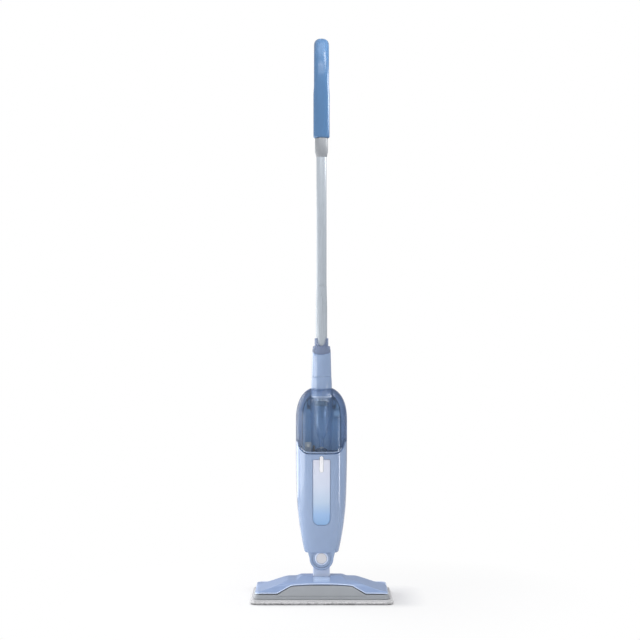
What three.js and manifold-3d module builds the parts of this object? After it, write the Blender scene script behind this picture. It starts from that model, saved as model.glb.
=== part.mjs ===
// Upright steam mop, in millimetres: +Z up, the front towards -Y, the floor at z = 0 and the
// origin at the centre of the pad's underside. Run with the npm packages three and manifold-3d.
import * as THREE from 'three';
import { mergeVertices } from 'three/addons/utils/BufferGeometryUtils.js';
import Module from 'manifold-3d';

const wasm = await Module();
wasm.setup();

// ---------------------------------------------------------------- driving dimensions

const FIT = 0.3; // gap between pieces that touch on the real mop
const RUN = 0.5; // running gap round moving pieces
const PLAY = 2 * FIT; // gap round loosely held pieces
const TURN_SIDES = 20; // sides of a large turned piece
const SMALL_SIDES = 12; // sides of a small turned piece
const TINY_SIDES = 8; // sides of a screw or a hose
const BOSS_SIDES = 6; // sides of a moulded post
const REACH = 80; // how far a cutting tool runs, past the body on every side

// Head
const PAD = { width: 301, depth: 160, thick: 10, taper: 3.5, corner: 14 };
const BASE = { width: 287, depth: 148, thick: 9.9, taper: 3, corner: 12, floor: 5, wall: 4 };
const APRON = { top: 37, halfTop: 64, halfFoot: 93, lean: 9, wall: 3 };
const COVER = {
  width: 279, depth: 137, wall: 2.4, ridge: 51, shoulder: 44.5, end: 25, rearDeck: 21.5,
  ridgeHalf: 43, shoulderIn: 50, shoulderOut: 75, slopeOut: 97, frontEdge: 22, rearEdge: 18,
  slotFront: 50,
};
const STEAM_PLATE = { width: 168, depth: 92, thick: 2.2, hole: 1.5, pitch: 26, rows: 2, columns: 6 };
const HOOK_STRIP = { width: 24, depth: 110, thick: 1, x: 126 };
const SCREW = { head: 3.2, headThick: 2, shank: 1.4 };
const HEAD_SCREW = { x: 97, y: 50, length: 10 };

// Swivel joint
const PITCH_Z = 37;
const ROLL_Z = 88.6;
const BARREL = { radius: 14.5, half: 17.5 };
const PITCH_PIN = { radius: 3, bore: 1.5, half: 30 };
const BEARING = { radius: 10.5, thick: 10 };
const KNUCKLE = { half: 17.8, depth: 11.5 };
const SPIGOT = { radius: 5, bore: 2.5, front: 17, rear: 13 };

// Body
const WALL = 3;
const EAR = { radius: 25.5, top: 108, topHalf: 30.5, front: 24, rear: 22 };
const BODY_FOOT = 100;
const DOME_START = 378;
const DOME_TOP = 453;
const DOME_POWER = 2.5; // exponent of the dome's rounded outline
const SECTION_POWER = 2.8; // exponent of the body's rounded cross-section
// Height, half width, depth to the front and depth to the back of the body
const BODY_STATIONS = [
  [100, 34, 25, 20], [103, 37, 27.5, 22], [110, 38.7, 29, 24.5], [124, 41.6, 32, 29],
  [141, 44.6, 34.5, 33], [158, 47.3, 37, 37], [176, 49.4, 39, 40], [193, 51.2, 41, 42],
  [225, 52.9, 44, 44], [260, 53.9, 46.5, 45], [308, 54.7, 50, 46], [340, 54.7, 52, 46],
  [378, 54.7, 52, 46],
];
const SPLIT = FIT / 2; // half the gap between the front and rear casings
const TANK_FLOOR = 313.5;
const TANK = { wall: 2.2, half: 49.6, corner: 24, back: 8, horn: 342, groove: 3.5 };
const TANK_CAP = { radius: 9, thick: 5, hole: 6.2, x: 32, z: 395 };
const PORT = { x: -28.5, z: 326, radius: 4 };
const FLANGE = { thick: 2.4, inset: 12.5 };
const CRADLE = { thick: 3.6 };
const NECK = { foot: 431, seam: 474.7, footRadius: 21.6, midRadius: 22.3, seamRadius: 21.3, bore: 15.3 };
const SLEEVE = { topRadius: 19.8, front: 522, rise: 14 };
const OUTER_RING = { top: 540, footRadius: 19.6, topRadius: 18.2, bore: 15.1 };
const SCOOP = { top: 557, radius: 14.7, notch: 12, notchWidth: 10 };

// Boiler and plumbing in the body
const BOILER = { width: 58, depth: 38, height: 84, z: 180, y: 3, corner: 8 };
const NIPPLE = { radius: 3.6, length: 7 }; // hose connections
const BRACKET = { width: 66, height: 62, thick: 1.6 };
const THERMOSTAT = { radius: 9, thick: 7, z: 200 };
const FUSE = { radius: 3, length: 18, x: 18, z: 165 };
const TERMINAL = { radius: 3, length: 14, x: 18 };
const HOSE = 4;
const CHECK_VALVE = { radius: 7, foot: 262, top: 292 };
const LENS = { half: 3.8, length: 34.5, top: TANK_FLOOR - 5, sink: 0.2 };
const BOARD = { width: 14, height: 42, thick: 1.6 };
const PANEL = { half: 18.3, foot: 161.5, top: 301, corner: 13, topCorner: 3, sink: 0.6, thick: 1.2 };
const TERMINAL_BLOCK = { width: 22, depth: 12, height: 14, z: 262 };
const GLAND = { z: 290, radius: 7, tip: 5, bore: 3.6, flange: 9.5, reach: 16 };
const CASING_SCREW = { xTop: 36, zTop: 262, xFoot: 27, zFoot: 119, headY: 20, length: 32, boss: 5 };
const HOOK = { half: 11, plateFoot: 338, plateTop: 376, plate: 2.6, reach: 38, arm: 10, lip: 8, drop: 24 };
const CAP = { radius: 14.4, crown: 12, sink: 2, proud: 2 };
const REAR_CAP = { radius: 9, thick: 1.5 };

// Pump and handle
const CYLINDER = { radius: 16, bore: 13.4, top: 430.6, waist: 370, cone: 346, nozzle: 5, nozzleFoot: 324 };
const SPRING_SEAT = { thick: 4, bore: 4.5 }; // floor of the neck under the pump spring
const PISTON = { radius: 13, thick: 10, z: 417 };
const ROD = 4;
const POLE = { foot: 490, lowerRadius: 12.15, upperRadius: 10.85, wall: 1.2, swageFoot: 617, swageTop: 669 };
const JOINER = { half: 36 };
const PUMP_SPRING = { radius: 8, wire: 0.9, turns: 6 };
const COLLAR = { radius: 13.9, footRadius: 11.5, length: 40, chamfer: 9.7 };
const HANDLE = {
  foot: 985.8, half: 16.3, thick: 14.5, wall: 3, power: 2.3, socket: 54, widen: 1.074, wideFoot: 90,
  wideTop: 116,
};
// Side view of the loop's centre line: depth, and height above the handle's foot
const HANDLE_LOOP = [
  [0, 74], [0, 136], [12, 180], [43, 207.5], [74, 187], [84, 144], [70, 91], [38, 50], [8, 27],
];
const CORD_HOOK = { below: 20, half: 8, post: 5, reach: 42, lift: 22, arm: 7, pivot: 3 };
const POLE_BUTTON = { radius: 4.5, z: 498, well: 15, foot: 17.8, proud: 1.6 };
const LATCH = {
  z: 414, half: 30, arm: 2.6, armX: 27, plateBack: 34, thick: 4, tooth: 9.4, stem: 6, pad: 10, travel: 5,
};

// ---------------------------------------------------------------- solids

/** Closed geometry as a manifold solid, with its faces turned outwards. */
function solid(geometry) {
  const bare = geometry.clone();
  bare.deleteAttribute('normal');
  bare.deleteAttribute('uv');
  const merged = mergeVertices(bare, 1e-4);
  const points = merged.attributes.position;
  const corner = (i) => new THREE.Vector3().fromBufferAttribute(points, i);
  const faces = [];
  let volume = 0;
  for (let i = 0; i < merged.index.count; i += 3) {
    const face = [0, 1, 2].map((k) => merged.index.getX(i + k));
    if (new Set(face).size < 3) continue;
    const [a, b, c] = face.map(corner);
    volume += a.dot(b.cross(c));
    faces.push(face);
  }
  if (volume < 0) faces.forEach((face) => face.reverse());
  return new wasm.Manifold(new wasm.Mesh({
    numProp: 3,
    vertProperties: Float32Array.from(points.array),
    triVerts: Uint32Array.from(faces.flat()),
  }));
}

/** Manifold solid as a flat-shaded geometry. */
function skin(body) {
  const mesh = body.getMesh();
  const geometry = new THREE.BufferGeometry();
  geometry.setAttribute('position', new THREE.BufferAttribute(Float32Array.from(mesh.vertProperties), 3));
  geometry.setIndex(new THREE.BufferAttribute(Uint32Array.from(mesh.triVerts), 1));
  geometry.computeVertexNormals();
  return geometry;
}

const cut = (body, ...tools) => tools.reduce((left, tool) => left.subtract(tool), body);
const join = (body, ...more) => more.reduce((left, next) => left.add(next), body);
const common = (body, ...more) => more.reduce((left, next) => left.intersect(next), body);

/** Box between two corners. */
function block([x0, y0, z0], [x1, y1, z1]) {
  const geometry = new THREE.BoxGeometry(x1 - x0, y1 - y0, z1 - z0);
  geometry.translate((x0 + x1) / 2, (y0 + y1) / 2, (z0 + z1) / 2);
  return solid(geometry);
}

/** Cylinder of a radius from one point to another, both on one line along an axis. */
function rod(radius, from, to, sides = TURN_SIDES, farRadius = radius) {
  const start = new THREE.Vector3(...from);
  const run = new THREE.Vector3(...to).sub(start);
  const geometry = new THREE.CylinderGeometry(farRadius, radius, run.length(), sides);
  geometry.translate(0, run.length() / 2, 0);
  geometry.applyQuaternion(new THREE.Quaternion().setFromUnitVectors(
    new THREE.Vector3(0, 1, 0), run.clone().normalize()));
  geometry.translate(...start.toArray());
  return solid(geometry);
}

/** Piece turned about a vertical axis from radius and height pairs; a ring closes on itself. */
function turned(profile, sides = TURN_SIDES, ring = false) {
  const points = profile.map(([r, z]) => new THREE.Vector2(r, z));
  if (ring) points.push(points[0].clone());
  const geometry = new THREE.LatheGeometry(points, sides);
  geometry.rotateX(Math.PI / 2);
  return solid(geometry);
}

/** Turned piece laid along Y, with its profile's height running towards the back. */
function turnedAlongY(profile, sides = TURN_SIDES, ring = false) {
  return turned(profile, sides, ring).rotate([-90, 0, 0]);
}

const outline = (points) => new THREE.Shape(points.map(([a, b]) => new THREE.Vector2(a, b)));

/** Outline in x and z, carried from y0 to y1. */
function prismY(points, y0, y1) {
  const geometry = new THREE.ExtrudeGeometry(outline(points), { depth: y1 - y0, bevelEnabled: false });
  geometry.rotateX(Math.PI / 2);
  geometry.translate(0, y1, 0);
  return solid(geometry);
}

/** Outline in y and z, carried from x0 to x1. */
function prismX(points, x0, x1) {
  const geometry = new THREE.ExtrudeGeometry(outline(points), { depth: x1 - x0, bevelEnabled: false });
  geometry.applyMatrix4(new THREE.Matrix4().makeBasis(
    new THREE.Vector3(0, 1, 0), new THREE.Vector3(0, 0, 1), new THREE.Vector3(1, 0, 0)));
  geometry.translate(x0, 0, 0);
  return solid(geometry);
}

/** Points of an arc about a centre, from one angle to another, in degrees. */
function arc([a, b], radius, from, to, steps = 6) {
  return Array.from({ length: steps + 1 }, (_, i) => {
    const angle = THREE.MathUtils.degToRad(from + ((to - from) * i) / steps);
    return [a + radius * Math.cos(angle), b + radius * Math.sin(angle)];
  });
}

/** Rectangle with round corners, centred on a point. */
function roundRect(width, height, radius, [a, b] = [0, 0], steps = 4) {
  const right = width / 2 - radius;
  const top = height / 2 - radius;
  return [
    ...arc([a + right, b + top], radius, 0, 90, steps),
    ...arc([a - right, b + top], radius, 90, 180, steps),
    ...arc([a - right, b - top], radius, 180, 270, steps),
    ...arc([a + right, b - top], radius, 270, 360, steps),
  ];
}

/** Flat slab with round corners, from z0 to z1, whose top is narrower by a taper on each side. */
function slab(width, depth, corner, z0, z1, taper = 0) {
  const geometry = new THREE.ExtrudeGeometry(
    outline(roundRect(width, depth, corner)), { depth: z1 - z0, bevelEnabled: false });
  const points = geometry.attributes.position;
  for (let i = 0; i < points.count; i += 1) {
    if (points.getZ(i) === 0) continue;
    points.setX(i, points.getX(i) * (1 - (2 * taper) / width));
    points.setY(i, points.getY(i) * (1 - (2 * taper) / depth));
  }
  geometry.translate(0, 0, z0);
  return solid(geometry);
}

/** Round tube along a smooth curve through points. */
function tube(points, radius, steps, sides = TINY_SIDES) {
  const path = points instanceof THREE.Curve
    ? points
    : new THREE.CatmullRomCurve3(points.map((p) => new THREE.Vector3(...p)), false, 'centripetal');
  const section = new THREE.Shape(arc([0, 0], radius, 0, 360 - 360 / sides, sides - 1)
    .map(([a, b]) => new THREE.Vector2(a, b)));
  return solid(new THREE.ExtrudeGeometry(section, { steps, extrudePath: path, bevelEnabled: false }));
}

/** Coil of wire between two heights. */
class Coil extends THREE.Curve {
  constructor(radius, foot, top, turns) {
    super();
    Object.assign(this, { radius, foot, top, turns });
  }

  getPoint(t, target = new THREE.Vector3()) {
    const angle = 2 * Math.PI * this.turns * t;
    return target.set(
      this.radius * Math.cos(angle), this.radius * Math.sin(angle), this.foot + (this.top - this.foot) * t);
  }
}

/** Screw along +Z with its head at z = 0. */
function screw(length) {
  return turned([[0, 0], [SCREW.head, 0], [SCREW.head, SCREW.headThick], [SCREW.shank, SCREW.headThick],
    [SCREW.shank, length], [0, length]], TINY_SIDES);
}

// ---------------------------------------------------------------- materials and assembly

const finish = (color, roughness, metalness = 0, opacity = 1) => new THREE.MeshStandardMaterial({
  color, roughness, metalness, opacity, transparent: opacity < 1,
});
const BODY_BLUE = () => finish(0x9dafd2, 0.35);
const HANDLE_BLUE = () => finish(0x6387b4, 0.4);
const SMOKY = () => finish(0x5a7598, 0.1, 0, 0.5);
const WHITE = () => finish(0xe2e4ea, 0.4);
const GREY = () => finish(0xa6a9ad, 0.5);
const PALE_METAL = () => finish(0xc6ccd2, 0.35, 0.6);
const STEEL = () => finish(0xb4b6ba, 0.3, 1);
const BRASS = () => finish(0xc09a5a, 0.3, 1);
const ALUMINIUM = () => finish(0xb9bcc0, 0.5, 1);
const RUBBER = () => finish(0x2b2b2e, 0.7);
const SILICONE = () => finish(0xe6e1d6, 0.6);
const MICROFIBRE = () => finish(0xe9e8e4, 0.95);
const NYLON = () => finish(0xd9d5cc, 0.5);
const BOARD_GREEN = () => finish(0x3d7a53, 0.6);

/** Adds one named piece to a group, with its place in that group. */
function place(group, name, body, material, position = [0, 0, 0]) {
  const mesh = new THREE.Mesh(skin(body), material);
  mesh.name = name;
  mesh.position.set(...position);
  group.add(mesh);
}

function subassembly(z = 0) {
  const group = new THREE.Group();
  group.position.z = z;
  return group;
}

const SIDES = [['left', -1], ['right', 1]];

// ---------------------------------------------------------------- head

const BASE_FOOT = PAD.thick + FIT;
const NIPPLE_X = BARREL.half + 46;
const BASE_TOP = BASE_FOOT + BASE.thick;
const BASE_FLOOR = BASE_FOOT + BASE.floor;
const COVER_FOOT = BASE_TOP + FIT;
const APRON_FRONT = -BASE.depth / 2 + BASE.taper / 2;
const APRON_TOP_Y = APRON_FRONT + APRON.lean;

/** Front view of the apron, wider and higher by a gap where the cover is cut for it. */
function apronOutline(gap) {
  return [
    [-APRON.halfFoot - gap, BASE_TOP - BASE.taper], [APRON.halfFoot + gap, BASE_TOP - BASE.taper],
    [APRON.halfFoot + gap, BASE_TOP + gap], [APRON.halfTop + gap, APRON.top + gap],
    [-APRON.halfTop - gap, APRON.top + gap], [-APRON.halfFoot - gap, BASE_TOP + gap],
  ];
}

/** Side view of the apron: a leaning wall, thicker by a gap behind it. */
function apronSide(front, gap) {
  const behind = APRON.wall + gap;
  const foot = BASE_TOP - BASE.taper;
  return [
    [APRON_FRONT - front, foot], [APRON_FRONT + behind, foot],
    [APRON_TOP_Y + behind, APRON.top + gap], [APRON_TOP_Y - front, APRON.top + gap],
  ];
}

function screwHoles(radius, z0, z1) {
  return SIDES.flatMap(([, sx]) => SIDES.map(([, sy]) => rod(
    radius, [sx * HEAD_SCREW.x, sy * HEAD_SCREW.y, z0], [sx * HEAD_SCREW.x, sy * HEAD_SCREW.y, z1],
    TINY_SIDES)));
}

function headBase() {
  const tray = cut(
    slab(BASE.width, BASE.depth, BASE.corner, BASE_FOOT, BASE_TOP, BASE.taper),
    slab(BASE.width - 2 * (BASE.wall + BASE.taper), BASE.depth - 2 * (BASE.wall + BASE.taper),
      BASE.corner - BASE.wall, BASE_FLOOR, BASE_TOP + 1),
    slab(STEAM_PLATE.width + PLAY, STEAM_PLATE.depth + PLAY, BASE.wall, BASE_FOOT - 1,
      BASE_FOOT + STEAM_PLATE.thick + FIT),
    ...SIDES.map(([, side]) => slab(HOOK_STRIP.width + PLAY, HOOK_STRIP.depth + PLAY, BASE.wall,
      BASE_FOOT - 1, BASE_FOOT + HOOK_STRIP.thick + FIT).translate([side * HOOK_STRIP.x, 0, 0])),
  );
  const apron = common(
    prismY(apronOutline(0), -BASE.depth, 0),
    prismX(apronSide(0, 0), -BASE.width, BASE.width),
  );
  const steamHole = rod(STEAM_PLATE.hole * 2, [NIPPLE_X, 0, BASE_FOOT], [NIPPLE_X, 0, BASE_TOP], TINY_SIDES);
  return cut(join(tray, apron), steamHole, ...screwHoles(SCREW.shank + FIT, BASE_FOOT - 1, BASE_TOP),
    ...screwHoles(SCREW.head + FIT, BASE_FOOT - 1, BASE_FOOT + SCREW.headThick + PLAY));
}

/** Front view of the cover, lower and narrower by an inset. */
function coverFront(inset) {
  const half = COVER.width / 2 - inset;
  const right = [
    [half, COVER_FOOT], [half - 3, COVER.end - inset], [COVER.slopeOut + 20 - inset, COVER.end + 2 - inset],
    [COVER.slopeOut - inset, COVER.end + 6 - inset], [COVER.shoulderOut - inset, COVER.shoulder - inset],
    [COVER.shoulderIn - inset, COVER.shoulder - inset + 0.5], [COVER.ridgeHalf - inset, COVER.ridge - inset],
  ];
  const foot = [half, COVER_FOOT - inset];
  return [foot, ...right, ...right.map(([x, z]) => [-x, z]).reverse(), [-half, COVER_FOOT - inset]];
}

/** Side view of the cover, lower and shallower by an inset. */
function coverSide(inset) {
  const front = -COVER.depth / 2 + inset;
  const back = COVER.depth / 2 - inset;
  return [
    [front, COVER_FOOT - inset], [back, COVER_FOOT - inset], [back, COVER_FOOT + 0.6 - inset],
    [back - 12, COVER.rearDeck + 1.5 - inset], [COVER.rearEdge + 9 - inset, COVER.rearDeck + 2 - inset],
    [COVER.rearEdge - inset, COVER.ridge - 3 - inset], [COVER.rearEdge - 5 - inset, COVER.ridge - inset],
    [-COVER.frontEdge + 6 + inset, COVER.ridge - inset], [-COVER.frontEdge + inset, COVER.ridge - 2 - inset],
    [APRON_TOP_Y + 2 + inset, APRON.top + 2.6 - inset], [front + 2, COVER_FOOT + 3 - inset],
  ];
}

function coverBlank(inset) {
  const width = COVER.width - 2 * inset;
  const depth = COVER.depth - 2 * inset;
  return common(
    prismY(coverFront(inset), -COVER.depth, COVER.depth),
    prismX(coverSide(inset), -COVER.width, COVER.width),
    slab(width, depth, BASE.corner - inset, COVER_FOOT - inset, COVER.ridge + 1),
  );
}

function headCover() {
  const slotHalf = BARREL.half + 2;
  const boss = (z0, z1) => join(...SIDES.flatMap(([, sx]) => SIDES.map(([, sy]) => rod(
    SCREW.head + 1, [sx * HEAD_SCREW.x, sy * HEAD_SCREW.y, z0], [sx * HEAD_SCREW.x, sy * HEAD_SCREW.y, z1],
    SMALL_SIDES))));
  return cut(
    join(cut(coverBlank(0), coverBlank(COVER.wall)), boss(BASE_FLOOR + FIT, COVER_FOOT + 1),
      common(boss(COVER_FOOT, COVER.ridge), coverBlank(COVER.wall / 2))),
    common(prismY(apronOutline(FIT), -BASE.depth, 0), prismX(apronSide(20, FIT), -BASE.width, BASE.width)),
    block([-slotHalf, -COVER.slotFront, 0], [slotHalf, COVER.rearEdge + 20, COVER.ridge + 5]),
    ...screwHoles(SCREW.shank + FIT, 0, BASE_FOOT + FIT + HEAD_SCREW.length),
  );
}

function steamPlate() {
  const holes = [];
  for (let row = 0; row < STEAM_PLATE.rows; row += 1) {
    for (let column = 0; column < STEAM_PLATE.columns; column += 1) {
      const x = (column - (STEAM_PLATE.columns - 1) / 2) * STEAM_PLATE.pitch;
      const y = (row - (STEAM_PLATE.rows - 1) / 2) * STEAM_PLATE.pitch;
      holes.push(rod(STEAM_PLATE.hole, [x, y, 0], [x, y, BASE_TOP], 5));
    }
  }
  return cut(slab(STEAM_PLATE.width, STEAM_PLATE.depth, BASE.wall - FIT, BASE_FOOT,
    BASE_FOOT + STEAM_PLATE.thick), ...holes);
}

function bearing(side) {
  const inner = BARREL.half + FIT;
  const half = BEARING.radius;
  const side0 = side < 0 ? -inner - BEARING.thick : inner;
  const foot = BASE_FLOOR + FIT;
  const outer = side0 + BEARING.thick;
  return cut(
    prismX([[half, foot], ...arc([0, PITCH_Z], half, 0, 180, 8), [-half, foot]], side0, outer),
    rod(PITCH_PIN.radius + FIT, [side0 - 1, 0, PITCH_Z], [outer + 1, 0, PITCH_Z], SMALL_SIDES));
}

const head = subassembly();
place(head, 'mop_pad', slab(PAD.width, PAD.depth, PAD.corner, 0, PAD.thick, PAD.taper), MICROFIBRE());
place(head, 'head_base', headBase(), GREY());
place(head, 'steam_plate', steamPlate(), WHITE());
place(head, 'head_cover', headCover(), BODY_BLUE());
for (const [name, side] of SIDES) {
  place(head, `hook_strip_${name}`, slab(HOOK_STRIP.width, HOOK_STRIP.depth, BASE.wall - FIT, BASE_FOOT,
    BASE_FOOT + HOOK_STRIP.thick), NYLON(), [side * HOOK_STRIP.x, 0, 0]);
  place(head, `bearing_${name}`, bearing(side), WHITE());
}
place(head, 'pitch_pin', cut(
  rod(PITCH_PIN.radius, [-PITCH_PIN.half, 0, 0], [PITCH_PIN.half, 0, 0], SMALL_SIDES),
  rod(PITCH_PIN.bore, [-5, 0, 0], [PITCH_PIN.half + 1, 0, 0], TINY_SIDES),
), STEEL(), [0, 0, PITCH_Z]);
place(head, 'steam_nipple', turned([
  [PITCH_PIN.bore, 0], [HOSE + 3, 0], [HOSE + 3, 2], [HOSE, 2],
  [HOSE, NIPPLE.length], [PITCH_PIN.bore, NIPPLE.length],
], SMALL_SIDES, true), BRASS(), [NIPPLE_X, 0, BASE_FLOOR + FIT]);
const NIPPLE_TOP = BASE_FLOOR + FIT + NIPPLE.length;
place(head, 'head_hose', tube([
  [PITCH_PIN.half + FIT, 0, PITCH_Z], [PITCH_PIN.half + 14, 0, PITCH_Z], [NIPPLE_X - 6, 0, PITCH_Z - 2],
  [NIPPLE_X, 0, NIPPLE_TOP + 7], [NIPPLE_X, 0, NIPPLE_TOP + 3], [NIPPLE_X, 0, NIPPLE_TOP + PLAY],
], HOSE, 9), SILICONE());

// ---------------------------------------------------------------- swivel knuckle, from the pitch axis up

const RISE = ROLL_Z - PITCH_Z;

function knuckleBlock() {
  const { half, depth } = KNUCKLE;
  const shape = [[-half, 0], [half, 0], ...arc([0, RISE], half, 0, 180, 10)];
  return cut(
    prismY(shape, -depth, depth),
    rod(BARREL.radius + FIT, [-half - 1, 0, 0], [half + 1, 0, 0]),
    block([-half - 1, -depth - 1, -1], [half + 1, depth + 1, BARREL.radius * 0.55]),
    rod(SPIGOT.radius + FIT, [0, -depth - 1, RISE], [0, depth + 1, RISE], SMALL_SIDES),
    rod(SPIGOT.bore, [0, 0, 0], [0, 0, RISE], TINY_SIDES),
  );
}

const knuckle = subassembly(PITCH_Z);
place(knuckle, 'swivel_barrel', cut(
  rod(BARREL.radius, [-BARREL.half, 0, 0], [BARREL.half, 0, 0]),
  rod(PITCH_PIN.radius + FIT, [-BARREL.half - 1, 0, 0], [BARREL.half + 1, 0, 0], SMALL_SIDES),
  rod(SPIGOT.bore, [0, 0, 0], [0, 0, BARREL.radius + 1], TINY_SIDES),
), BODY_BLUE());
place(knuckle, 'swivel_block', knuckleBlock(), WHITE());
place(knuckle, 'roll_spigot', cut(
  rod(SPIGOT.radius, [0, -SPIGOT.front, 0], [0, SPIGOT.rear, 0], SMALL_SIDES),
  rod(SPIGOT.bore, [0, -5, 0], [0, SPIGOT.rear + 1, 0], TINY_SIDES),
  rod(SPIGOT.bore, [0, 0, -SPIGOT.radius - 1], [0, 0, 0], TINY_SIDES),
), BRASS(), [0, 0, RISE]);

// ---------------------------------------------------------------- body shape

/** Half width, front depth and back depth of the body at a height, less an inset. */
function bodySize(z, inset) {
  if (z > DOME_START) {
    const t = Math.min(1, (z - DOME_START) / (DOME_TOP - inset - DOME_START));
    const shrink = (1 - t ** DOME_POWER) ** (1 / DOME_POWER);
    const [, ...size] = BODY_STATIONS[BODY_STATIONS.length - 1];
    return size.map((value) => (value - inset) * shrink);
  }
  const above = BODY_STATIONS.findIndex(([height]) => height >= z);
  const upper = BODY_STATIONS[Math.max(above, 1)];
  const lower = BODY_STATIONS[Math.max(above, 1) - 1];
  const t = (z - lower[0]) / (upper[0] - lower[0]);
  return [1, 2, 3].map((k) => THREE.MathUtils.lerp(lower[k], upper[k], t) - inset);
}

/** The body's whole outer form as one solid, smaller on every side by an inset. */
function bodyForm(inset, sides = 24) {
  const dome = [0.25, 0.48, 0.68, 0.84, 0.95].map((t) => DOME_START + (DOME_TOP - inset - DOME_START) * t);
  const foot = BODY_FOOT + inset;
  const heights = [foot, ...BODY_STATIONS.map(([z]) => z).filter((z) => z > foot + 1), ...dome];
  const top = DOME_TOP - inset;
  const profile = [[0, foot], ...heights.map((z) => [1, z]), [0, top]];
  const geometry = new THREE.LatheGeometry(profile.map(([r, z]) => new THREE.Vector2(r, z)), sides);
  geometry.rotateX(Math.PI / 2);
  const points = geometry.attributes.position;
  for (let i = 0; i < points.count; i += 1) {
    const [x, y, z] = [points.getX(i), points.getY(i), points.getZ(i)];
    const radius = Math.hypot(x, y);
    const [half, front, back] = bodySize(z, inset);
    const bend = (value) => Math.sign(value) * Math.abs(value) ** (2 / SECTION_POWER);
    if (radius > 0.5) points.setXY(i, half * bend(x), (y < 0 ? front : back) * bend(y));
  }
  return solid(geometry);
}

/** Front view of the tank's place between the horns of the body, wider by a gap. */
function tankOutline(gap) {
  const half = TANK.half + gap;
  const centre = TANK_FLOOR + TANK.corner;
  const corner = TANK.corner + gap;
  const side = TANK.half - TANK.corner;
  const outer = 70;
  return [
    ...arc([side, centre], corner, -90, 0, 5), [half, TANK.horn - 3 - gap], [outer, TANK.horn - gap],
    [outer, DOME_TOP + 10], [-outer, DOME_TOP + 10], [-outer, TANK.horn - gap], [-half, TANK.horn - 3 - gap],
    ...arc([-side, centre], corner, 180, 270, 5),
  ];
}

/** Arched front view of the dome, smaller by an inset, from a sill up. */
function archOutline(inset, sill) {
  const half = BODY_STATIONS[BODY_STATIONS.length - 1][1] - inset;
  const rise = DOME_TOP - inset - DOME_START;
  const right = [0, 0.25, 0.45, 0.62, 0.76, 0.88, 0.96].map((t) => [
    half * (1 - t ** DOME_POWER) ** (1 / DOME_POWER), DOME_START + rise * t]);
  return [
    [-half, sill], [half, sill], ...right, [0, DOME_START + rise],
    ...right.map(([x, z]) => [-x, z]).reverse(),
  ];
}

/** Front view of an ear: round about the roll axis, widening up to the casing. */
function earOutline(inset = 0) {
  const radius = EAR.radius - inset;
  return [
    [EAR.topHalf - inset, EAR.top], [-EAR.topHalf + inset, EAR.top],
    ...arc([0, ROLL_Z], radius, 180, 360, 12),
  ];
}

/** Slice of everything between two depths and two heights. */
const slice = (y0, y1, z0, z1) => block([-REACH, y0, z0], [REACH, y1, z1]);
const wholeBody = bodyForm(0);
const insideBody = bodyForm(WALL);
const midWall = bodyForm(WALL / 2);
const bodyShell = cut(wholeBody, insideBody);
const tankSpace = prismY(tankOutline(FIT), -REACH, TANK.back + FIT);
const knuckleSpace = rod(
  KNUCKLE.half + RUN, [0, -KNUCKLE.depth - RUN, ROLL_Z], [0, KNUCKLE.depth + RUN, ROLL_Z]);
const screwPlaces = SIDES.flatMap(([, side]) => [
  [side * CASING_SCREW.xTop, CASING_SCREW.zTop], [side * CASING_SCREW.xFoot, CASING_SCREW.zFoot]]);

// ---------------------------------------------------------------- front casing and what it carries

function panelOutline(gap) {
  const { half: wide, foot, top, corner, topCorner } = PANEL;
  return [
    ...arc([wide - corner, foot + corner], corner + gap, -90, 0, 5),
    ...arc([wide - topCorner, top - topCorner], topCorner + gap, 0, 90, 2),
    ...arc([-wide + topCorner, top - topCorner], topCorner + gap, 90, 180, 2),
    ...arc([-wide + corner, foot + corner], corner + gap, 180, 270, 5),
  ];
}

function lensOutline(gap) {
  const r = LENS.half + gap;
  return [
    ...arc([0, LENS.top - LENS.half], r, 0, 180, 6),
    ...arc([0, LENS.top - LENS.length + LENS.half], r, 180, 360, 6),
  ];
}

function frontCasing() {
  const ear = prismY(earOutline(), -EAR.front, -KNUCKLE.depth - RUN);
  const bosses = screwPlaces.map(([x, z]) => common(midWall, rod(
    CASING_SCREW.boss, [x, -60, z], [x, -SPLIT, z], BOSS_SIDES)));
  const pocket = common(prismY(panelOutline(FIT), -REACH, -20),
    cut(slice(-REACH, -10, PANEL.foot - 10, PANEL.top + 10), bodyForm(PANEL.sink + PANEL.thick + FIT)));
  const shaft = CASING_SCREW.headY + SCREW.headThick - CASING_SCREW.length;
  return cut(
    join(common(bodyShell, slice(-REACH, -SPLIT, BODY_FOOT, TANK.horn)), ear, ...bosses),
    tankSpace,
    knuckleSpace,
    pocket,
    prismY(lensOutline(FIT), -REACH, -20),
    rod(CAP.radius + FIT, [0, -2 * EAR.front, ROLL_Z], [0, -EAR.front + CAP.sink, ROLL_Z]),
    rod(SPIGOT.radius + FIT, [0, -EAR.front, ROLL_Z], [0, 0, ROLL_Z], SMALL_SIDES),
    ...screwPlaces.map(([x, z]) => rod(SCREW.shank + FIT, [x, shaft - 1, z], [x, 1, z], TINY_SIDES)),
  );
}

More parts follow.
